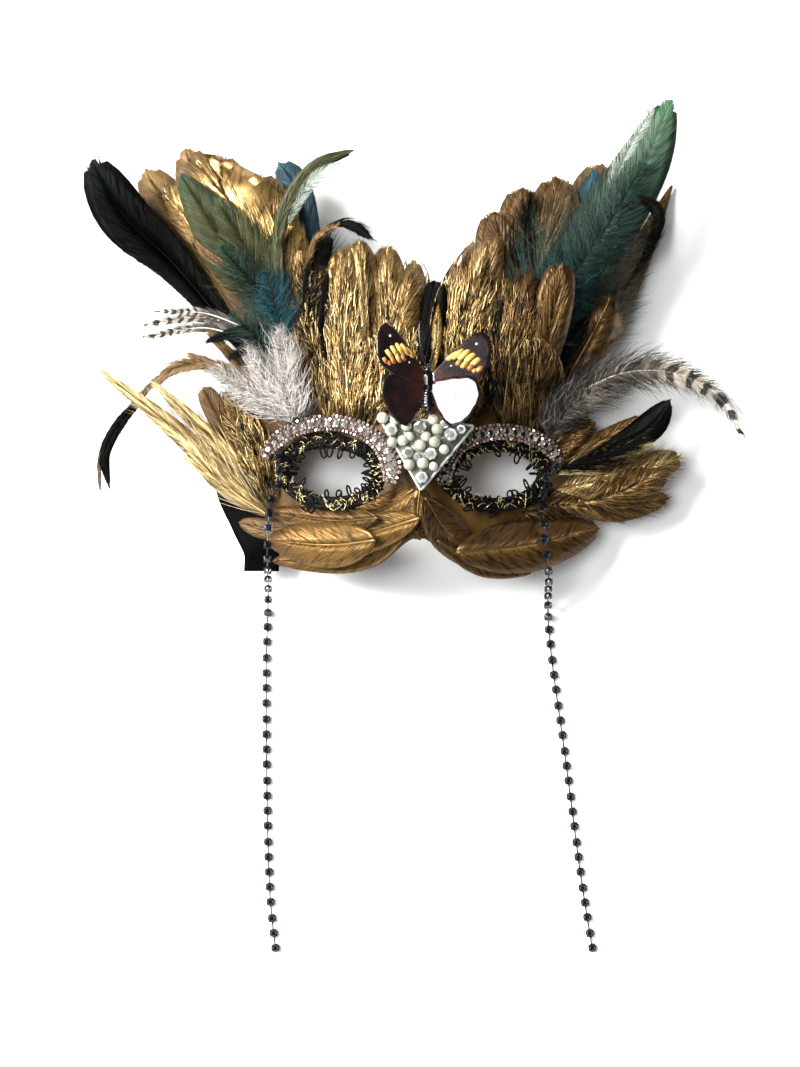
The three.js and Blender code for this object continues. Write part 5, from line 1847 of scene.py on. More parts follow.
@dataclass
class LoopedBraid:
    """Black braid round one eye hole: plies wound round a core, thread loops and gold thread.

    half and height are the braid's own, ply, core and loop the radii of its threads, and winds how
    often each ply goes round. It has as many bits of black and gold tangle as tangle and gold say.
    """

    side: str
    centre: Point
    a: float
    b: float
    turn: float
    half: float = 2.9
    height: float = 3.2
    ply: float = 0.775
    plies: int = 5
    winds: int = 23
    core: float = 1.15
    core_lines: tuple[float, ...] = (-1.7, 0.0, 1.7)
    loop: float = 0.42
    loops: int = 24
    tangle: int = 130
    gold: int = 90

    def build(self, thread: Material, gold: Material) -> None:
        """Makes the braid and its gold thread.

        Args:
            thread: the black thread.
            gold: the gold one.
        """
        self.node = "eye_braid_" + self.side
        self.under = Under(self.node)
        black = Stock(np.random.default_rng(BRAID_SEED + len(self.side)))
        self.add_plies(black)
        self.add_tangle(black, self.tangle, 0.3, 2.2)
        self.add_loops(black)
        hand_over(black.piece(self.node + "_loops", thread), "looped_braid", self.node)
        bright = Stock(black.dice)
        self.add_tangle(bright, self.gold, 0.16, 2.9)
        hand_over(bright.piece(self.node + "_gold_thread", gold), "looped_braid", self.node)

    def spot(self, angle: Array, out: Array) -> Array:
        """Points of the braid in plan.

        Args:
            angle: where round it, in radians.
            out: distance out from its middle line.

        Returns:
            Rows of x and y.
        """
        middle = ring_of(self.centre, self.a, self.b, self.turn, angle)
        cosine, sine = math.cos(self.turn), math.sin(self.turn)
        spin = np.array([[cosine, sine], [-sine, cosine]])
        outward = unit(np.stack([self.b * np.cos(angle), self.a * np.sin(angle)], -1) @ spin)
        return middle + outward * np.asarray(out, float)[..., None]

    def level(self, angle: Array) -> Array:
        """Height of the braid's top at angles round it."""
        return self.under.tops(self.spot(angle, np.zeros_like(angle)))

    def rough_level(self, angle: Array) -> Array:
        """Height of the braid's top at any angles, from 73 even ones."""
        even = np.linspace(0, math.tau, 73)
        return np.interp(angle % math.tau, even, self.level(even))

    def add_plies(self, stock: Stock) -> None:
        """Adds the plies that make the braid's body.

        Args:
            stock: takes the faces.
        """
        angle = np.linspace(0, math.tau, 185)
        middle = self.level(angle) - self.height / 2
        for ply in range(self.plies):
            wind = angle * self.winds + ply * math.tau / self.plies
            plan = self.spot(angle, (self.half - 0.7) * np.sin(wind))
            path = np.c_[plan, middle + (self.height / 2 - 0.8) * np.cos(wind * 2 + ply)]
            stock.strands(path[None], self.ply, self.ply, tone=0.4, profile=round_profile(5))
        angle, middle = angle[::4], middle[::4]
        for out in self.core_lines:
            path = np.c_[self.spot(angle, np.full_like(angle, out)), middle - 0.2]
            stock.strands(path[None], self.core, self.core, tone=0.3, profile=round_profile(6))

    def add_tangle(self, stock: Stock, count: int, radius: float, length: float) -> None:
        """Adds short crooked bits of thread over the braid.

        Args:
            stock: takes the faces.
            count: how many.
            radius: of the thread.
            length: of a bit, roughly.
        """
        rng = stock.dice
        start = rng.uniform(0, math.tau, count)
        t = np.linspace(0, 1, 7)[None, :]
        phase = rng.uniform(0, math.tau, (count, 3, 1))
        run = length * rng.uniform(0.7, 1.6, count)[:, None] / (self.a + self.b) * 2
        angle = start[:, None] + run * (t - 0.5) * rng.choice([-1, 1], count)[:, None]
        out = rng.uniform(-1, 1, count)[:, None] * self.half * 0.9
        out = out + 1.3 * np.sin(phase[:, 0] + t * 5) + 0.3 * np.sin(phase[:, 2] + t * 13)
        rise = self.rough_level(angle) - 0.35 + 0.5 * np.sin(phase[:, 1] + t * 6)
        paths = raised(self.spot(angle, out), rise)
        stock.strands(paths, radius, radius, tone=rng.uniform(0, 1, count), profile=round_profile(4))

    def add_loops(self, stock: Stock) -> None:
        """Adds thread loops that stand off the braid, some over the eye hole.

        Args:
            stock: takes the faces.
        """
        n, rng = self.loops, stock.dice
        angle = np.linspace(0, math.tau, n, endpoint=False) + rng.uniform(-0.08, 0.08, n)
        inward = rng.uniform(0, 1, n) < 0.6
        long = rng.uniform(2.0, 4.8, n)
        wide = rng.uniform(0.6, 1.1, n)
        lean = rng.normal(0, 0.35, n)
        t = np.linspace(0, math.tau, 15)[None, :]
        reach = (1 - np.cos(t)) / 2 * long[:, None]
        across = np.sin(t) * wide[:, None] + reach * lean[:, None]
        base = np.where(inward, -self.half + 0.5, self.half - 0.8)
        out = base[:, None] + np.where(inward, -1.0, 0.7)[:, None] * reach
        around = angle[:, None] + across / ((self.a + self.b) / 2)
        level = self.rough_level(angle) - 0.8
        rise = level[:, None] + 0.35 * reach * rng.uniform(-0.6, 0.8, n)[:, None]
        paths = raised(self.spot(around, out), rise)
        stock.strands(paths, self.loop, self.loop, tone=rng.uniform(0, 1, n), profile=round_profile(5))


def gems(stock: Stock, seats: Array, axes: Array, radius: Array, height: Array, tone: Array) -> None:
    """Adds cut stones: a flat table, a ring of crown facets and a shallow back.

    Args:
        stock: takes the faces.
        seats: middle of each stone's widest ring.
        axes: direction that each faces.
        radius: of the widest ring.
        height: from there to the table.
        tone: lightness of each.
    """
    sides = 8
    axes = unit(axes)
    right = unit(np.cross(np.array([0.0, 1.0, 0.0]), axes))
    up = np.cross(axes, right)
    turn = np.arange(sides) * math.tau / sides
    rings = []
    for angle, size, level in ((turn, 1.0, 0.0), (turn + math.pi / sides, 0.62, 1.0)):
        flat = right[:, None] * np.cos(angle)[:, None] + up[:, None] * np.sin(angle)[:, None]
        raise_by = axes * (height * level)[:, None]
        rings.append(seats[:, None] + flat * (radius * size)[:, None, None] + raise_by[:, None])
    back = seats - axes * (radius * 0.35)[:, None]
    corners = np.concatenate([rings[0], rings[1], back[:, None]], axis=1)
    k = np.arange(sides)
    after = (k + 1) % sides
    faces = [np.stack([k, after, k + sides], -1), np.stack([after, after + sides, k + sides], -1)]
    faces.append(np.stack([np.full(sides - 2, sides), sides + k[1:-1], sides + k[2:]], -1))
    faces.append(np.stack([after, k, np.full(sides, 2 * sides)], -1))
    stock.copies(corners, None, np.concatenate(faces), tone)


def balls(stock: Stock, middles: Array, radius: Array, tone: Array, rings: int, sides: int) -> None:
    """Adds round beads.

    Args:
        stock: takes the faces.
        middles: their middles.
        radius: of each.
        tone: lightness of each.
        rings: bands from pole to pole.
        sides: faces round a band.
    """
    fall = np.linspace(0, math.pi, rings + 1)[1:-1, None]
    turn = np.arange(sides) * math.tau / sides
    axes = (np.sin(fall) * np.cos(turn), np.sin(fall) * np.sin(turn), np.cos(fall) + 0 * turn)
    band = np.stack(axes, -1).reshape(-1, 3)
    one = np.vstack([band, [[0, 0, 1], [0, 0, -1]]])
    grid = np.arange(len(band)).reshape(-1, sides)
    after = np.roll(grid, -1, axis=1)
    quads = np.stack([grid[:-1], grid[1:], after[1:], after[:-1]], -1).reshape(-1, 4)
    top, low = np.full((2, sides), len(band)) + [[0], [1]]
    caps = np.concatenate([np.stack([top, grid[0], after[0]], -1), np.stack([low, after[-1], grid[-1]], -1)])
    stock.copies(middles[:, None] + one * radius[:, None, None], quads, caps, tone)


@dataclass
class BrowBand:
    """Band of set stones that arches over one eye: large clear ones between rows of small rose ones.

    half is its half width at its start and inner at its end, in degrees round the oval of a and b.
    rows are the stones' rows as shares of that width. rose and clear hold a stone's radius and height.
    """

    side: str
    centre: Point
    a: float
    b: float
    shift: float
    half: float = 3.3
    inner: float = 4.6
    start: float = 18.0
    end: float = 194.0
    spacing: float = 1.75
    rows: tuple[float, ...] = (-0.84, -0.42, 0.0, 0.42, 0.84)
    rose: Point = (0.84, 0.6)
    clear: Point = (1.4, 0.9)

    def build(self, setting: Material, rose: Material, clear: Material) -> None:
        """Makes the band, its rose stones and its clear stones.

        Args:
            setting: the metal.
            rose: the small stones.
            clear: the large stones.
        """
        node = "brow_band_" + self.side
        out = -1 if self.side == "left" else 1
        share = np.linspace(0, 1, 17)
        angle = np.radians(mix(self.start, self.end, share))
        x = self.centre[0] + out * (self.shift + self.a * np.cos(angle))
        points = tuple(zip(x, self.centre[1] + self.b * np.sin(angle)))
        blade = Blade(node, points, self.half_width, 16, 1)
        dice = np.random.default_rng(BROW_SEED + len(self.side))
        run, side = blade.grid(90, 5)
        side = side * blade.half_at(run, run) * 0.97
        stock = Stock()
        stock.plate(blade.at(run, side, np.full_like(run, -0.9)), 1.6, blade.place(run, side), 0.3)
        hand_over(stock.piece(node + "_setting", setting), "trim_stones", node)
        spots = {"_rose_stones": [], "_clear_stones": []}
        count = int(blade.length / self.spacing)
        for row, shift in enumerate(self.rows):
            word = "_clear_stones" if row == 2 else "_rose_stones"
            for i in range(0, count, 2 if row == 2 else 1):
                at = min((i + 0.5 + 0.5 * (row % 2)) * blade.length / count, blade.length - 0.8)
                reach = float(blade.half_at(np.array(at), 0))
                spots[word].append((at + dice.normal(0, 0.12), shift * reach))
        kinds = (("_rose_stones", self.rose, rose), ("_clear_stones", self.clear, clear))
        for word, (radius, height), material in kinds:
            stones = Stock(dice)
            self.set_stones(stones, blade, np.array(spots[word]), radius, height)
            hand_over(stones.piece(node + word, material, facets=True), "trim_stones", node)

    def half_width(self, u: Array) -> Array:
        """Half width at shares along the band, as in the solid."""
        ends = mix(0.55, 1, smooth(np.minimum(u, 1 - u) / 0.12))
        return mix(self.half, self.inner, smooth(u * 2 - 1)) * ends

    @staticmethod
    def set_stones(stock: Stock, blade: Blade, spots: Array, radius: float, height: float) -> None:
        """Adds stones at spots on the band.

        Args:
            stock: takes the faces.
            blade: the band's surface.
            spots: rows of distance along and across.
            radius: of a stone.
            height: of its crown.
        """
        n = len(spots)
        seats = blade.at(spots[:, 0], spots[:, 1], np.full(n, -0.75))
        axes = np.c_[stock.dice.normal(0, 0.28, (n, 2)), np.ones(n)]
        size = radius * stock.dice.uniform(0.86, 1.08, n)
        gems(stock, seats, axes, size, height * size / radius, stock.dice.uniform(0, 1, n))


@dataclass
class NosePlate:
    """Leaning plate with a raised rim, pearls and crystals."""

    corners: Line = ((-14.5, 24.5), (3.2, -8.0), (25.5, 20.0))
    slope: float = -0.25
    wall: float = 1.5
    rim: float = 0.9
    bead: float = 1.0
    pearls: tuple[Spot, ...] = (
        (-12.1, 22.3, 2.4), (-2.5, 19.0, 2.3), (-1.3, 14.6, 2.1), (-3.9, 13.0, 2.4), (-8.2, 12.4, 2.2),
        (3.0, 11.1, 2.4), (5.4, 14.6, 2.2), (8.9, 12.4, 2.4), (9.9, 17.6, 2.4), (8.3, 21.6, 2.3),
        (12.6, 9.4, 2.1), (-1.4, 3.2, 2.3), (4.0, 3.8, 2.4), (8.3, 2.6, 1.9), (-7.2, 21.4, 2.1),
    )
    crystals: tuple[Spot, ...] = (
        (-8.7, 17.4, 2.9), (3.0, 18.4, 3.0), (15.3, 15.4, 3.0), (7.2, 7.6, 2.8), (-2.0, 8.2, 2.7),
        (3.6, -1.8, 2.7), (12.9, 19.6, 2.3), (19.4, 17.6, 2.2), (-1.0, 22.6, 2.2), (1.6, 6.6, 1.8),
    )

    def build(self, plate: Material, rim: Material, pearl: Material, crystal: Material) -> None:
        """Makes the plate, the pearls and the crystals.

        Args:
            plate: finish of the plate.
            rim: finish of its raised rim.
            pearl: finish of the pearls.
            crystal: finish of the crystals.
        """
        corners = np.array(self.corners) * np.array([1.0, math.cos(math.atan(self.slope))])
        solid = PLACED.corners("nose_plate")
        tip = corners[1]
        near = np.linalg.norm(solid[:, :2] - tip, axis=1)
        tip_height = solid[np.argsort(near)[:2], 2].max()

        def level(points: Array) -> Array:
            """Height of the plate's upper face."""
            return tip_height + self.slope * (points[:, 1] - tip[1])

        outline = self.rounded(corners, 1.4)
        middle = outline.mean(axis=0)
        inner = mix(outline, middle, 0.07)
        rings = [mix(middle, inner, share) for share in (0.01, 1, 1, 0.01)]
        falls = (0.25, 0.25, self.wall, self.wall)
        stock = Stock()
        stock.tubes(np.stack([np.c_[ring, level(ring) - fall] for ring, fall in zip(rings, falls)])[None])
        hand_over(stock.piece("nose_plate_dish", plate), "nose_plate", "nose_plate")
        closed = np.vstack([outline, outline[:1]])
        path = np.c_[mix(closed, middle, 0.03), level(closed) - 0.5]
        edge = Stock()
        edge.strands(path[None], self.rim * 0.6, self.rim * 0.6, profile=round_profile(8))
        hand_over(edge.piece("nose_plate_rim", rim), "nose_plate", "nose_plate")
        dice = np.random.default_rng(PLATE_SEED)
        for word, spots, material in (("pearls", self.pearls, pearl), ("crystals", self.crystals, crystal)):
            rows = np.array(spots)
            radius = rows[:, 2] * self.bead
            seats = np.c_[rows[:, :2], level(rows[:, :2]) + radius * 0.75 - 0.2]
            beads = Stock()
            bands, sides = (12, 18) if word == "pearls" else (6, 7)
            balls(beads, seats, radius, dice.uniform(0, 1, len(rows)), bands, sides)
            hand_over(beads.piece("plate_" + word, material, word == "crystals"), "pearls", "pearl_beads")

    @staticmethod
    def rounded(corners: Array, radius: float) -> Array:
        """The triangle with rounded corners, as a closed run of points.

        Args:
            corners: the three corners, counter-clockwise.
            radius: distance from a corner at which the rounding starts.

        Returns:
            Rows of x and y.
        """
        points = []
        for i, corner in enumerate(corners):
            before = unit(corners[i - 1] - corner) * radius
            after = unit(corners[(i + 1) % len(corners)] - corner) * radius
            for t in np.linspace(0, 1, 6):
                points.append(corner + before * (1 - t) ** 2 + after * t**2)
            start, end = points[-1], corners[(i + 1) % len(corners)]
            for t in np.linspace(0.1, 0.9, 8):
                points.append(mix(start, end - unit(end - start) * radius, t))
        return np.array(points)


@dataclass
class Butterfly:
    """Lacquered butterfly: two pairs of wings, a turned body and feelers.

    fore and hind are the right wings' outlines and body the body's radius along its length. marks and
    dots hold a spot, two half sizes, a lean and a tone each. pairs holds, for each side, the lift of
    the upper and lower wing in radians and the upper one's turn in plan. wing is the wings' thickness.
    """

    x: float = 6.0
    tail: float = 23.0
    wing: float = 0.6
    root: Point = (1.2, 15.0)
    fore: Line = (
        (1.2, 16.5), (9.5, 25), (17, 31.5), (22, 33.5), (25, 30), (25, 22), (21.5, 16), (12, 13), (1.2, 13),
    )
    hind: Line = (
        (1.2, 14), (11, 15.5), (19, 15), (21.5, 8.5), (19.5, 3), (14.5, -3), (9, -4.4), (5, 0), (1.2, 9),
    )
    body: Line = (
        (0, 0), (1.6, 1.2), (2.4, 4), (2.0, 8.4), (1.2, 10), (2.1, 12), (2.2, 16), (1.2, 18.4), (1.4, 19.4),
        (0, 20.4),
    )
    marks: tuple[tuple[float, float, float, float, float, float], ...] = (
        (9.6, 23.6, 2.6, 1.0, 0.62, 1.0), (11.9, 24.4, 3.0, 1.1, 0.66, 0.9),
        (14.3, 24.2, 3.0, 1.1, 0.7, 1.0), (16.7, 23.0, 2.8, 1.1, 0.72, 0.9),
        (19.0, 21.4, 2.5, 1.05, 0.66, 1.0), (12.4, 21.2, 1.5, 0.9, 0.8, 0.1),
        (14.7, 20.4, 1.9, 1.0, 0.8, 0.8), (17.0, 19.2, 1.6, 1.0, 0.75, 0.0),
        (18.6, 17.8, 1.1, 0.8, 0.7, 0.1), (20.6, 18.6, 1.5, 0.9, 0.7, 0.2),
    )
    dots: tuple[tuple[float, float, float, float, float, float], ...] = (
        (19.6, 28.6, 0.5, 0.45, 0.0, 1.0), (9.4, 19.8, 0.35, 0.3, 0.0, 0.8),
    )
    pairs: tuple[tuple[int, float, float, float], ...] = ((-1, 0.55, 0.55, 0.13), (1, 0.0, 0.15, 0.0))

    def build(self, body: Material, wings: Material, marks: Material, dots: Material) -> None:
        """Makes the wings, their marks and the body.

        Args:
            body: finish of the body and feelers.
            wings: lacquered wings.
            marks: the light patches.
            dots: the small white dots.
        """
        low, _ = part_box("butterfly")
        wing_stock, mark_stock, dot_stock = Stock(), Stock(), Stock()
        for side, fore_tilt, hind_tilt, swing in self.pairs:
            self.add_blade(wing_stock, self.fore, (side, fore_tilt, swing), self.wing / 2)
            self.add_blade(wing_stock, self.hind, (side, hind_tilt, 0.0), 0.0)
            self.add_marks(mark_stock, self.marks, (side, fore_tilt, swing))
            self.add_marks(dot_stock, self.dots, (side, fore_tilt, swing))
        body_stock = Stock()
        self.add_body(body_stock)
        parts = (
            (wing_stock, "wings", wings), (mark_stock, "wing_marks", marks), (dot_stock, "wing_dots", dots),
            (body_stock, "body", body),
        )
        own = min(np.concatenate(stock.corners)[:, 2].min() for stock, _, _ in parts)
        lift = low[2] / MM - PLACED.offset[2] - own
        for stock, word, material in parts:
            stock.corners = [corners + np.array([self.x, self.tail, lift]) for corners in stock.corners]
            hand_over(stock.piece("butterfly_" + word, material), "butterfly", "butterfly")

    def place(self, rings: Array, pose: tuple[int, float, float]) -> Array:
        """Rings of a flat right wing, swung forward and lifted about its root, or mirrored to the left.

        Args:
            rings: rings by corners by x, y and z.
            pose: 1 for the right wing or -1, its lift in radians and its turn in plan.

        Returns:
            The rings as one tube.
        """
        side, tilt, swing = pose
        root_x, root_y = self.root
        x, y, z = rings[..., 0] - root_x, rings[..., 1] - root_y, rings[..., 2]
        x, y = x * math.cos(swing) - y * math.sin(swing), x * math.sin(swing) + y * math.cos(swing)
        x, z = x * math.cos(tilt) - z * math.sin(tilt), x * math.sin(tilt) + z * math.cos(tilt)
        return np.stack([side * (x + root_x), y + root_y, z], -1)[None]

    def outline(self, points: Line, scallop: float) -> Array:
        """A smooth closed outline through a few points.

        Args:
            points: the outline's points.
            scallop: depth of its small waves.

        Returns:
            Rows of x and y, counter-clockwise.
        """
        ring = np.array(points + points[:2], float)
        line = PlanLine(tuple(map(tuple, ring)))
        count = len(points)
        u = np.linspace(0, count / (count + 1), 11 * count, endpoint=False)
        smooth_ring = line.at(u)
        outward = unit(smooth_ring - smooth_ring.mean(axis=0))
        wave = scallop * np.sin(np.arange(len(u)) * 0.8)
        return (smooth_ring + outward * wave[:, None])[::-1]

    def add_blade(
        self, stock: Stock, points: Line, pose: tuple[int, float, float], lift: float
    ) -> None:
        """Adds one wing as a closed dished blade.

        Args:
            stock: takes the faces.
            points: its outline.
            pose: side, lift in radians and turn in plan.
            lift: its height over the other wing.
        """
        ring = self.outline(points, 0.12)
        grid = np.array([mix(ring.mean(axis=0), ring, share) for share in np.linspace(0.04, 1, 8)])
        veins = 0.012 * np.sin(np.arctan2(grid[..., 1] - 14, grid[..., 0]) * 26)
        glow = 0.9 * bell(np.hypot(grid[..., 0], grid[..., 1] - 12) / 8)
        top = raised(grid, lift + self.wing / 2 + veins)
        flat = np.concatenate([top, raised(grid, np.full_like(glow, lift))[::-1]])
        spots = np.stack([flat[..., 0] / 30, (flat[..., 1] + 6) / 42], -1)[None]
        tone = np.concatenate([glow, glow[::-1]])[None]
        order = slice(None, None, pose[0])
        stock.tubes(self.place(flat, pose)[:, :, order], spots[:, :, order], tone[:, :, order])

    def add_marks(
        self, stock: Stock, marks: tuple[tuple[float, ...], ...], pose: tuple[int, float, float]
    ) -> None:
        """Adds the light patches of one forewing, as thin raised cells.

        Args:
            stock: takes the faces.
            marks: place, half sizes, lean and tone of each.
            pose: side, lift in radians and turn in plan.
        """
        turn = np.linspace(0, math.tau, 14, endpoint=False)
        for number, (x, y, long, wide, lean, tone) in enumerate(marks):
            along = long * np.cos(turn) * (1 + 0.1 * np.sin(turn * 3 + number))
            across = wide * np.sign(np.sin(turn)) * np.abs(np.sin(turn)) ** 0.5
            ring = np.c_[
                x + along * math.cos(lean) - across * math.sin(lean),
                y + along * math.sin(lean) + across * math.cos(lean),
            ]
            level = self.wing + 0.006 * number
            flat = slab(ring, level - 0.1, level + 0.025)[0]
            stock.tubes(self.place(flat, pose)[:, :, :: pose[0]], tone=tone)

    def add_body(self, stock: Stock) -> None:
        """Adds the turned body with rings, and the feelers.

        Args:
            stock: takes the faces.
        """
        profile = np.array(self.body, float)
        y = np.linspace(0.05, 20.35, 60)
        radius = np.interp(y, profile[:, 1], profile[:, 0])
        rings = np.where(y < 10, 0.12 * np.sin(y * 4.2), 0.0)
        path = np.stack([np.zeros_like(y), y, np.zeros_like(y)], -1)[None]
        size = np.maximum(radius + rings, 0.08)[None]
        stock.strands(path, size, size, tone=0.4, profile=round_profile(14))
        t = np.linspace(0, 1, 14)
        for side in (-1, 1):
            x = side * (0.5 + 2.6 * t + 1.2 * np.sin(t * 3))
            path = np.stack([x, 19.5 + 18 * t, 0.4 + 2.2 * np.sin(t * 2.6)], -1)[None]
            size = mix(0.5, 0.28, t)[None] + 0.2 * smooth((t - 0.93) / 0.05)[None]
            stock.strands(path, size, size, tone=0.4, profile=round_profile(6))
        eyes = np.array([[-0.9, 19.3, 0.9], [0.9, 19.3, 0.9]])
        balls(stock, eyes, np.array([0.6, 0.6]), np.array([0.4, 0.4]), 8, 12)


@dataclass
class StoneChain:
    """A hanging chain of cup-set stones on short bars, laid where its solid lies.

    radius and height are a cup's in the solid. cup holds the rings of its wall and floor, each as a
    share of radius and a level, prong the rings of a prong as a share, a level and a thickness, and
    bar the thicknesses along a bar.
    """

    side: str
    points: Line
    radius: float = 1.75
    height: float = 2.2
    cup: Line = ((0.95, 0.1), (1.0, 0.9), (1.06, 1.25), (0.84, 1.25), (0.7, 0.5))
    prong: tuple[Spot, ...] = ((1.0, 0.7, 0.34), (1.04, 1.5, 0.3), (0.66, 2.0, 0.22))
    bar: Line = ((0.0, 0.55), (0.15, 0.32), (0.5, 0.3), (0.85, 0.32), (1.0, 0.55))

    def build(self, metal: Material, stone: Material) -> None:
        """Makes the cups and bars, and the stones.

        Args:
            metal: finish of the cups.
            stone: finish of the stones.
        """
        node = "stone_chain_" + self.side
        seats, ahead, across, up = self.cup_frames(node)
        metal_stock, stone_stock = Stock(), Stock()
        self.add_cups(metal_stock, seats, ahead, across, up)
        self.add_bars(metal_stock, seats, ahead, up)
        tone = np.random.default_rng(CHAIN_SEED).uniform(0, 1, len(seats))
        size = np.full(len(seats), self.radius * 0.86)
        gems(stone_stock, seats + up * 1.15, up, size, np.full(len(seats), 0.8), tone)
        hand_over(metal_stock.piece(node + "_cups", metal, facets=True), "chain_stones", node)
        hand_over(stone_stock.piece(node + "_stones", stone, facets=True), "chain_stones", node)

    def cup_frames(self, node: str) -> tuple[Array, Array, Array, Array]:
        """Finds each cup of the solid: its foot and its three directions.

        Args:
            node: the solid.

        Returns:
            Feet, directions along the chain, across it and up.
        """
        corners = PLACED.corners(node)
        line = PlanLine(self.points)
        u = np.linspace(0, 1, 2001)
        plan = line.at(u)
        apart = np.linalg.norm(corners[:, None, :2] - plan[None], axis=2)
        nearest = apart.argmin(axis=1)
        wide = apart.min(axis=1) > self.radius * 0.85
        arc = np.r_[0, np.cumsum(np.linalg.norm(np.diff(plan, axis=0), axis=1))]
        corners, where = corners[wide], arc[nearest[wide]]
        corners = corners[np.argsort(where)]
        groups = corners[: len(corners) // 8 * 8].reshape(-1, 8, 3)
        middles = groups.mean(axis=1)
        ahead = unit(np.gradient(middles, axis=0))
        across = unit(np.cross(ahead, np.array([0.0, 0.0, 1.0])))
        up = np.cross(across, ahead)
        return middles - up * self.height / 2, ahead, across, up

    def add_cups(self, stock: Stock, seats: Array, ahead: Array, across: Array, up: Array) -> None:
        """Adds the cups: a tapered eight-sided wall, a floor and four prongs.

        Args:
            stock: takes the faces.
            seats: foot of each cup.
            ahead: direction along the chain.
            across: direction across it.
            up: direction that the cup faces.
        """
        turn = ((np.arange(8) + 0.5) * math.tau / 8)[:, None]
        flat = across[:, None] * np.cos(turn) - ahead[:, None] * np.sin(turn)
        feet, up_each = seats[:, None], up[:, None]
        rings = [feet + flat * self.radius * share + up_each * level for share, level in self.cup]
        stock.tubes(np.stack(rings, axis=1))
        for x, y in ((1, 1), (1, -1), (-1, 1), (-1, -1)):
            outward = unit(across * x + ahead * y)
            rings = [seats + outward * self.radius * share + up * level for share, level, _ in self.prong]
            paths = np.stack(rings, axis=1)
            size = np.array(self.prong)[:, 2]
            stock.strands(paths, size, size, profile=round_profile(5), up=outward[:, None] + 0 * paths)

    def add_bars(self, stock: Stock, seats: Array, ahead: Array, up: Array) -> None:
        """Adds the bars between the cups.

        Args:
            stock: takes the faces.
            seats: foot of each cup.
            ahead: direction along the chain.
            up: direction that the cups face.
        """
        start = seats[:-1] + ahead[:-1] * self.radius * 0.8 + up[:-1] * 0.9
        end = seats[1:] - ahead[1:] * self.radius * 0.8 + up[1:] * 0.9
        paths = np.stack([mix(start, end, share) for share, _ in self.bar], axis=1)
        size = np.array(self.bar)[:, 1]
        stock.strands(paths, size, size * 0.7, profile=round_profile(6))


@dataclass
class Studio:
    """Pale floor, soft light and the camera over the mask."""

    camera_at: Point = (-5.1, -24.3)
    camera_height: float = 760.0
    lens: float = 58.94
    sky: float = 0.09
    lights: tuple[tuple, ...] = (
        ("key", (-1.3, 0.7, 1.25), 0.85, 118.0, (1.0, 0.985, 0.96)),
        ("window", (-0.45, 0.12, 1.5), 0.55, 17.0, (0.97, 0.99, 1.0)),
        ("fill_low", (0.2, -1.5, 1.3), 1.4, 9.0, (0.96, 0.98, 1.0)),
    )

    def build(self) -> None:
        """Makes the floor, lights and camera."""
        self.add_camera()
        self.add_floor()
        for name, at, size, power, colour in self.lights:
            self.add_light(name, at, size, power, colour)
        world = bpy.data.worlds.new("studio")
        world.use_nodes = True
        world.node_tree.nodes["Background"].inputs["Color"].default_value = (0.93, 0.96, 1.0, 1.0)
        world.node_tree.nodes["Background"].inputs["Strength"].default_value = self.sky
        bpy.context.scene.world = world
        bpy.context.scene.view_settings.view_transform = "Standard"

    def add_camera(self) -> None:
        """Adds the camera, which looks straight down."""
        camera = bpy.data.cameras.new("camera")
        camera.lens = self.lens
        camera.clip_start, camera.clip_end = 0.01, 10
        made = bpy.data.objects.new("camera", camera)
        made.location = PLACED.metres(np.array([*self.camera_at, self.camera_height]))
        bpy.context.scene.collection.objects.link(made)
        bpy.context.scene.camera = made

    def add_floor(self) -> None:
        """Adds the floor just under the mask."""
        mesh = bpy.data.meshes.new("floor")
        reach, level = 3.0, -0.0002
        corners = [(x * reach, y * reach, level) for x, y in ((-1, -1), (1, -1), (1, 1), (-1, 1))]
        mesh.from_pydata(corners, [], [(0, 1, 2, 3)])
        mesh.materials.append(PlainFinish("floor", "f4f4f2", "f0f0ee", 6, rough=(0.7, 0.8)).material())
        floor = bpy.data.objects.new("floor", mesh)
        bpy.context.scene.collection.objects.link(floor)

    @staticmethod
    def add_light(name: str, at: Spot, size: float, power: float, colour: Spot) -> None:
        """Adds a square soft light that faces the mask.

        Args:
            name: its name.
            at: its place in the row frame, in metres.
            size: side of the square.
            power: in watts.
            colour: red, green and blue.
        """
        light = bpy.data.lights.new(name, "AREA")
        light.size, light.energy, light.color = size, power, colour
        made = bpy.data.objects.new(name, light)
        made.location = at
        made.rotation_mode = "QUATERNION"
        made.rotation_quaternion = (-Vector(at)).to_track_quat("-Z", "Y")
        bpy.context.scene.collection.objects.link(made)


WING_FINISH = PlainFinish(
    "butterfly_wings", "060507", "40180c", 250, 0.0, (0.22, 0.32), 1.0, 0.08, use_tone=True,
)
MARK_FINISH = PlainFinish("wing_marks", "a84820", "f0c860", 500, 0.0, (0.3, 0.4), 0.6, 0.08, use_tone=True)
DOT_FINISH = PlainFinish("wing_dots", "b8b0a4", "f4f2ec", 500, 0.0, (0.3, 0.4), 0.6, 0.08, use_tone=True)

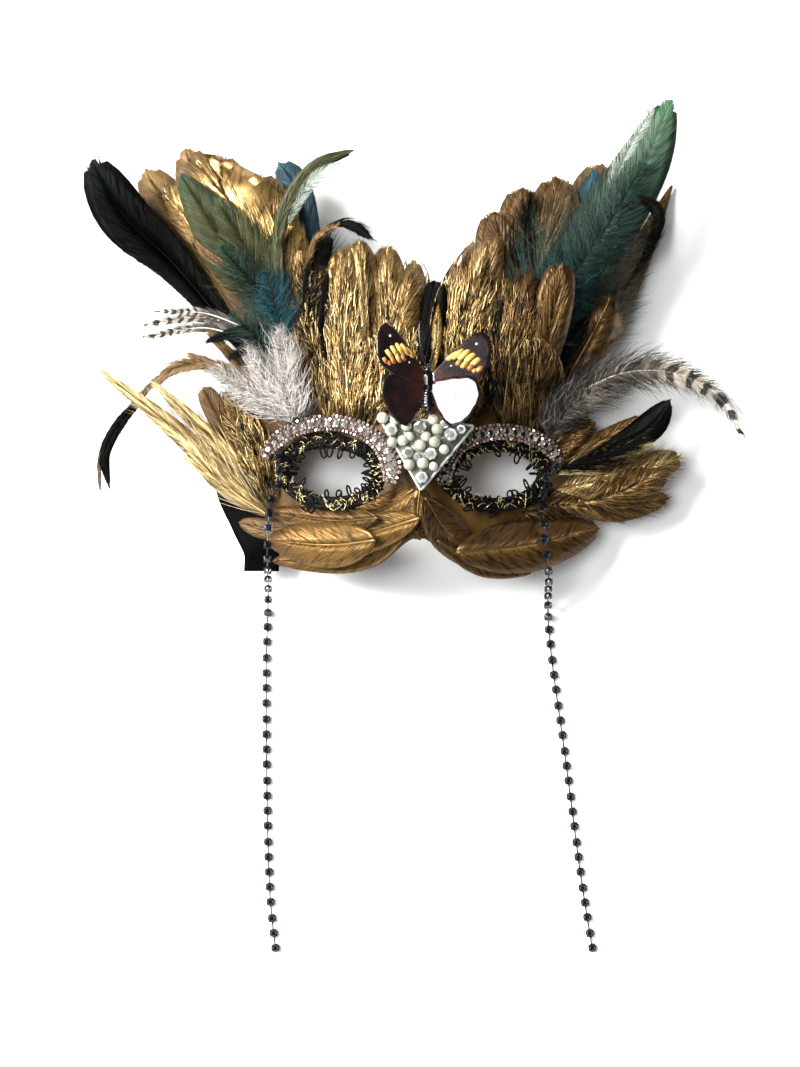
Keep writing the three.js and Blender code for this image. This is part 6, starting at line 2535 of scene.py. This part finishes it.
RIBBONS = (
    RibbonEnd("ribbon_end_left", ((-74, 12), (-77, -3), (-70, -20), (-64.5, -32), (-64.5, -40.5))),
    RibbonEnd("ribbon_end_right", ((74, 4), (84, 1), (95, -3), (106, -4))),
)
BRAIDS = (LoopedBraid("left", (-34, 1), 20.4, 12.9, -0.12), LoopedBraid("right", (35, 0), 20.4, 12.3, 0.06))
BROWS = (BrowBand("left", (-34, 1), 27.5, 20.3, 2), BrowBand("right", (35, 0), 25.5, 17.7, 3))
CHAINS = (
    StoneChain(
        "left",
        (
            (-56, 9), (-55, -2), (-59, -10), (-60, -16), (-61, -36), (-63, -71), (-63, -131), (-61.5, -183),
            (-59, -207),
        ),
    ),
    StoneChain(
        "right",
        ((61, 4), (56, -1), (55, -9), (55, -21), (58, -48), (60.5, -76), (67, -124), (74, -177), (79, -208)),
    ),
)


def write_sizes() -> None:
    """Brings the view layer up to date."""
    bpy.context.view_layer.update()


def main() -> None:
    """Builds the studio and every piece of the mask, in order."""
    logging.basicConfig(level=logging.INFO, format="%(name)s: %(message)s")
    Studio().build()
    Shell().build()
    satin = RIBBON_FINISH.material()
    for ribbon in RIBBONS:
        ribbon.build(satin)
    dyes = {dye: dye.value.material() for dye in Dye}
    number = 0
    for group in GROUPS:
        number = group.build(number, dyes)
    thread, gold = THREAD_FINISH.material(), GOLD_THREAD_FINISH.material()
    for braid in BRAIDS:
        braid.build(thread, gold)
    setting = BAND_FINISH.material()
    rose, clear = ROSE_STONE_FINISH.material(), CLEAR_STONE_FINISH.material()
    for brow in BROWS:
        brow.build(setting, rose, clear)
    plate = [finish.material() for finish in (PLATE_FINISH, RIM_FINISH, PEARL_FINISH, CRYSTAL_FINISH)]
    NosePlate().build(*plate)
    Butterfly().build(*(finish.material() for finish in (JET_FINISH, WING_FINISH, MARK_FINISH, DOT_FINISH)))
    metal, stone = SILVER_FINISH.material(), CHAIN_STONE_FINISH.material()
    for chain in CHAINS:
        chain.build(metal, stone)
    write_sizes()
    made = [o for o in bpy.data.objects if o.type == "MESH" and o.visible_get()]
    LOG.info("mask: %d triangles", sum(len(p.vertices) - 2 for o in made for p in o.data.polygons))


if __name__ == "__main__":
    main()
